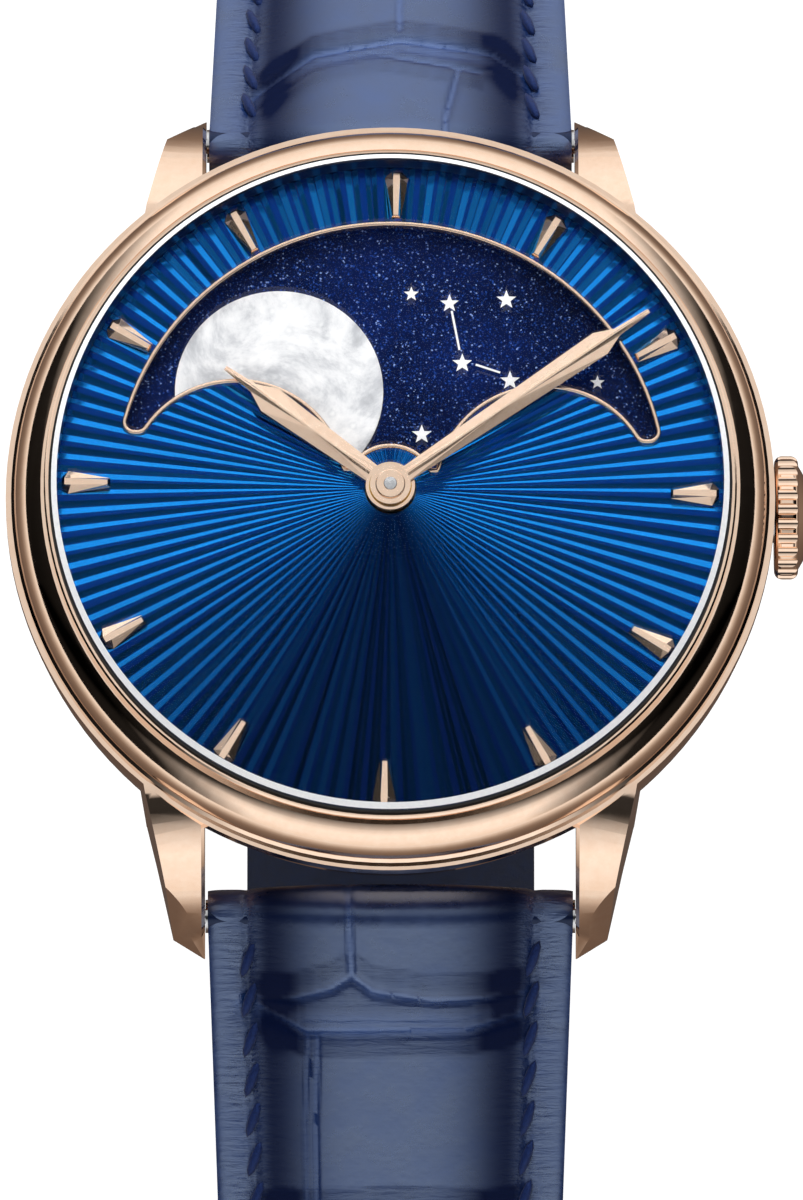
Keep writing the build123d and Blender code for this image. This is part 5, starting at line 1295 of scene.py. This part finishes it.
@dataclass
class Applied:
    """CAD pieces whose edges are softened or kept crisp for the light."""

    frame_bevel_mm: float = 0.085
    lug_inner_mm: float = 10.0
    lug_corner_mm: float = 11.95
    lug_end_mm: float = 23.42
    lug_slant_mm: float = 1.0
    lug_side_mm: tuple = ((13.15, 16.6), (11.68, 22.7))
    lug_lean: float = 0.268
    block_mm: tuple = (-3, 9)
    block_past_mm: float = 2.0

    def window_frame(self) -> Piece:
        """Rounds the moon window's frame so that it catches a line of light."""
        piece = copy_of("moon_window_frame", "rounded_window_frame")
        apply_modifier(
            piece, "BEVEL", width=self.frame_bevel_mm * MM, segments=3, limit_method="ANGLE",
            angle_limit=math.radians(50),
        )
        close_up(piece, 75)
        ROSE_GOLD.dress(piece)
        return place(piece, "root", "rose_gold", "moon_window_frame")

    def hand(self, node: str, body: str) -> Piece:
        """Keeps a hand's facets flat, each with its own light."""
        piece = copy_of(node, f"faceted_{node}")
        close_up(piece, 4)
        ROSE_GOLD.dress(piece)
        return place(piece, body, "rose_gold", node)

    def wedge(self, plan: tuple, turn: tuple[int, int], lean: float) -> Piece:
        """Makes one upright block that cuts a lug.

        Args:
            plan: The block's four corners seen from above, in mm, for the lug at +X and +Y.
            turn: The signs of X and Y that turn it to its lug.
            lean: How far it leans towards the case as it rises.

        Returns:
            The closed block.
        """
        x_side, y_side = turn
        points = [(x_side * x * MM, y_side * (y - lean * z) * MM, z * MM) for z in self.block_mm for x, y in plan]
        faces = [(0, 1, 2, 3), (7, 6, 5, 4), (0, 4, 5, 1), (1, 5, 6, 2), (2, 6, 7, 3), (3, 7, 4, 0)]
        return close_up(mesh_piece("wedge", points, faces))

    def case(self) -> Piece:
        """Cuts the lug ends on a slant, tapers the lugs and lets the light run smoothly down their backs."""
        piece = copy_of("case_middle", "polished_case")
        past = self.block_past_mm
        inner, outer, end = self.lug_inner_mm, self.lug_corner_mm + past, self.lug_end_mm
        slope = self.lug_slant_mm / (self.lug_corner_mm - self.lug_inner_mm)
        end_plan = (
            (inner - 1, end + slope), (outer, end - slope * (outer - inner)),
            (outer, end + 2 * past), (inner - 1, end + 2 * past),
        )
        (wide, near), (narrow, far) = self.lug_side_mm
        flank_plan = ((wide, near), (narrow, far), (wide + past, far), (wide + past, near))
        ends, flanks = [], []
        for turn in ((-1, -1), (-1, 1), (1, -1), (1, 1)):
            ends.append(self.wedge(end_plan, turn, self.lug_lean))
            flanks.append(self.wedge(flank_plan, turn, 0.0))
        cut_with(piece, ends)
        cut_with(piece, flanks)
        select_only(piece)
        bpy.ops.object.shade_smooth_by_angle(angle=math.radians(28))
        ROSE_GOLD.dress(piece)
        return place(piece, "root", "rose_gold", "case_middle")

    def hub(self) -> None:
        """Caps the hands with a gold bush round the steel end of their pinion."""
        for name, corners, radius, depth, level, bevel, segments, smooth, finish, slot in (
            ("hand_bush", 64, 0.8, 0.17, 11.06, 0.05, 2, 15, ROSE_GOLD, "rose_gold"),
            ("pinion_tip", 48, 0.36, 0.08, 11.17, 0.035, 3, 60, STEEL, "polished_steel"),
        ):
            clear_selection()
            bpy.ops.mesh.primitive_cylinder_add(
                vertices=corners, radius=radius * MM, depth=depth * MM, end_fill_type="NGON",
                location=(0, 0, level * MM),
            )
            piece = new_piece(name)
            apply_modifier(piece, "BEVEL", width=bevel * MM, segments=segments, limit_method="ANGLE")
            close_up(piece, smooth)
            finish.dress(piece)
            place(piece, "minute", slot)

    def build(self) -> None:
        """Makes the case, the frame, both hands and their hub."""
        self.case()
        self.hub()
        self.window_frame()
        self.hand("hour_hand", "hour")
        self.hand("minute_hand", "minute")


CARRIED = {
    ROSE_GOLD: (
        "bezel", "crown", "buckle_frame", "buckle_tang",
    ),
    ROSE_GOLD_SATIN: ("case_back",),
    SAPPHIRE: ("back_crystal",),
    SKY: ("moon_disc",),
    PEARL: ("pearl_moons",),
    FLANGE: ("flange_ring",),
    NITRILE: ("case_gaskets",),
    PLATE: ("main_plate", "movement_ring", "moon_cover_plate"),
    STRIPED_BRIDGE: ("barrel_bridge", "train_bridge", "balance_cock", "pallet_bridge"),
    GILT: (
        "barrel", "centre_wheel", "third_wheel", "fourth_wheel", "balance_wheel", "hour_wheel",
        "minute_wheel", "day_wheel",
    ),
    STEEL: (
        "barrel_arbor", "ratchet_wheel", "crown_wheel", "click", "escape_wheel", "pallet_fork",
        "cannon_pinion", "setting_lever", "yoke", "sliding_pinion", "winding_pinion",
        "winding_stem", "rotor_bearing", "crown_tube", "spring_bars", "buckle_pin",
        "case_back_screws",
    ),
    BLUED: ("hairspring", "mainspring", "movement_screws"),
    RUBY: ("jewels",),
    ROTOR_ALLOY: ("rotor",),
}


@dataclass
class Studio:
    """A white room with a pale floor, soft lamps and dark cards at the sides and behind the camera."""

    floor_mm: float = -47.48
    aim_mm: tuple = (0.6, -6.35, 10.55)
    distance_mm: float = 1500.0
    elevation: float = math.radians(75.0)
    lens: float = 836.7
    room_strength: float = 1.12
    glow: float = 1.25
    glow_share: float = 0.72
    # How far the painted shadow in the floor's painted reflection reaches
    reflected_shadow_reach_mm: float = 500.0
    overhead: tuple = (
        (0, "#f0ece8"), (12, "#f8f8f8"), (24, "#ffffff"), (46, "#ffffff"), (58, "#e6e6e6"), (75, "#dadada"),
        (94, "#cccccc"), (103, "#303030"), (122, "#2c2c2c"), (136, "#e0e0e0"), (150, "#ffffff"), (168, "#f8f8f8"),
        (180, "#f0ece8"),
    )
    cards: tuple = ((0.0, "#ffffff"), (0.45, "#ffffff"), (0.62, "#8a8a8a"), (0.74, "#1e1e1e"), (1.0, "#141414"))
    # Painted reflection of the floor for glossy rays, darker near the watch as a painted shadow
    floor_reflection_painted_shadow: tuple = (
        (0.0, "#4c4038"), (0.12, "#5e5048"), (0.26, "#85776d"), (0.52, "#cfc7c0"), (1.0, "#f4f2f0"),
    )
    lamps: tuple = (
        ("key", (0, 620, 560), 500, 5.6),
        ("fill_left", (-520, -260, 620), 400, 1.5),
        ("fill_right", (560, -180, 560), 400, 1.0),
    )

    def camera(self) -> None:
        """Sets the camera where the photograph was taken from."""
        data = bpy.data.cameras.new("camera")
        data.lens = self.lens
        data.clip_start, data.clip_end = 0.01, 10.0
        camera = add_object("camera", data)
        aim = Vector(self.aim_mm) * MM
        back = Vector((0, -math.cos(self.elevation), math.sin(self.elevation)))
        camera.location = aim + back * self.distance_mm * MM
        face_along(camera, -back)
        bpy.context.scene.camera = camera

    def seen(self, tree: Tree) -> Socket:
        """Gives 1 for rays from the camera or through glass."""
        path = add_node(tree, "LightPath")
        rays = {0: path.outputs["Is Camera Ray"], 1: path.outputs["Is Transmission Ray"]}
        return add_node(tree, "Math", {"operation": "MAXIMUM"}, rays).outputs[0]

    def world(self) -> None:
        """Sets the white room, with the dark cards that polished metal shows as bands."""
        world = bpy.data.worlds.new("room")
        bpy.context.scene.world = world
        tree = empty_tree(world)
        way = add_node(tree, "TexCoord").outputs["Generated"]
        split = add_node(tree, "SeparateXYZ", links={0: way})
        turn = add_node(tree, "Math", {"operation": "ARCTAN2"}, {0: split.outputs[2], 1: split.outputs[1]})
        share = add_node(tree, "Math", {"operation": "DIVIDE", 1: math.pi}, {0: turn})
        stops = [(degrees / 180, colour) for degrees, colour in self.overhead]
        over = add_node(tree, "ValToRGB", {"stops": stops}, {"Fac": share})
        sideways = add_node(tree, "Math", {"operation": "ABSOLUTE"}, {0: split.outputs[0]})
        cards = add_node(tree, "ValToRGB", {"stops": self.cards}, {"Fac": sideways})
        mirror = add_node(tree, "Mix", {"data_type": "RGBA", "blend_type": "MULTIPLY", 0: 1.0}, {6: over, 7: cards})
        room = add_node(tree, "Background", {"Strength": self.room_strength}, {"Color": mirror.outputs[2]})
        white = add_node(tree, "Background", {"Color": "#ffffff", "Strength": 1.0})
        outer = add_node(tree, "MixShader", links={0: self.seen(tree), 1: room, 2: white})
        add_node(tree, "OutputWorld", links={"Surface": outer})

    def lamp(self, name: str, place_mm: tuple, size_mm: float, power: float) -> None:
        """Hangs one square soft lamp that faces the watch."""
        data = bpy.data.lights.new(name, "AREA")
        data.size = size_mm * MM
        data.energy = power
        lamp = add_object(name, data)
        lamp.location = Vector(place_mm) * MM
        lamp.visible_glossy = False
        face_along(lamp, -lamp.location)

    def floor(self) -> None:
        """Lays a pale floor that reads as white and still takes a soft shadow, and shows metal a painted reflection
        of itself that darkens near the watch as a painted shadow.
        """
        clear_selection()
        bpy.ops.mesh.primitive_grid_add(
            x_subdivisions=8, y_subdivisions=8, size=4.0, location=(0, 0, self.floor_mm * MM)
        )
        piece = new_piece("floor")
        paint = bpy.data.materials.new("floor_paint")
        tree = empty_tree(paint)
        path = add_node(tree, "LightPath")
        flat = add_node(tree, "BsdfDiffuse", {"Color": "#f4f4f4"})
        glow = add_node(tree, "Emission", {"Color": "#ffffff", "Strength": self.glow})
        # What glossy rays see of the floor is a painted reflection: an emission that darkens near the watch, a
        # painted shadow of it
        spot = add_node(tree, "TexCoord").outputs["Object"]
        reach = add_node(tree, "VectorMath", {"operation": "LENGTH"}, {0: spot})
        far = add_node(
            tree, "Math", {"operation": "DIVIDE", 1: self.reflected_shadow_reach_mm * MM}, {0: reach.outputs["Value"]}
        )
        near = add_node(tree, "ValToRGB", {"stops": self.floor_reflection_painted_shadow}, {"Fac": far})
        reflected_floor = add_node(tree, "Emission", {"Strength": 1.0}, {"Color": near})
        eye = add_node(tree, "Math", {"operation": "MULTIPLY", 1: self.glow_share}, {0: self.seen(tree)})
        shown = add_node(tree, "MixShader", links={0: eye, 1: flat, 2: glow})
        mixed = add_node(tree, "MixShader", links={0: path.outputs["Is Glossy Ray"], 1: shown, 2: reflected_floor})
        below = add_node(tree, "NewGeometry").outputs["Backfacing"]
        clear = add_node(tree, "BsdfTransparent")
        one_sided = add_node(tree, "MixShader", links={0: below, 1: mixed, 2: clear})
        add_node(tree, "OutputMaterial", links={"Surface": one_sided})
        piece.data.materials.append(paint)

    def build(self) -> None:
        """Sets up the room."""
        self.camera()
        self.world()
        self.floor()
        for lamp in self.lamps:
            self.lamp(*lamp)
        bpy.context.scene.view_settings.view_transform = "Standard"


def dress_frame() -> None:
    """Gives every CAD node that still shows its finish."""
    for finish, nodes in CARRIED.items():
        for node in nodes:
            finish.dress(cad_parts[node])


def main() -> None:
    """Builds the studio and every piece in order."""
    logging.basicConfig(level=logging.INFO, format="%(name)s: %(message)s")
    Studio().build()
    dress_frame()
    FlutedDial().build()
    Crystal().build()
    StarField().build()
    Markers().build()
    Applied().build()
    Strap().build()


if __name__ == "__main__":
    main()
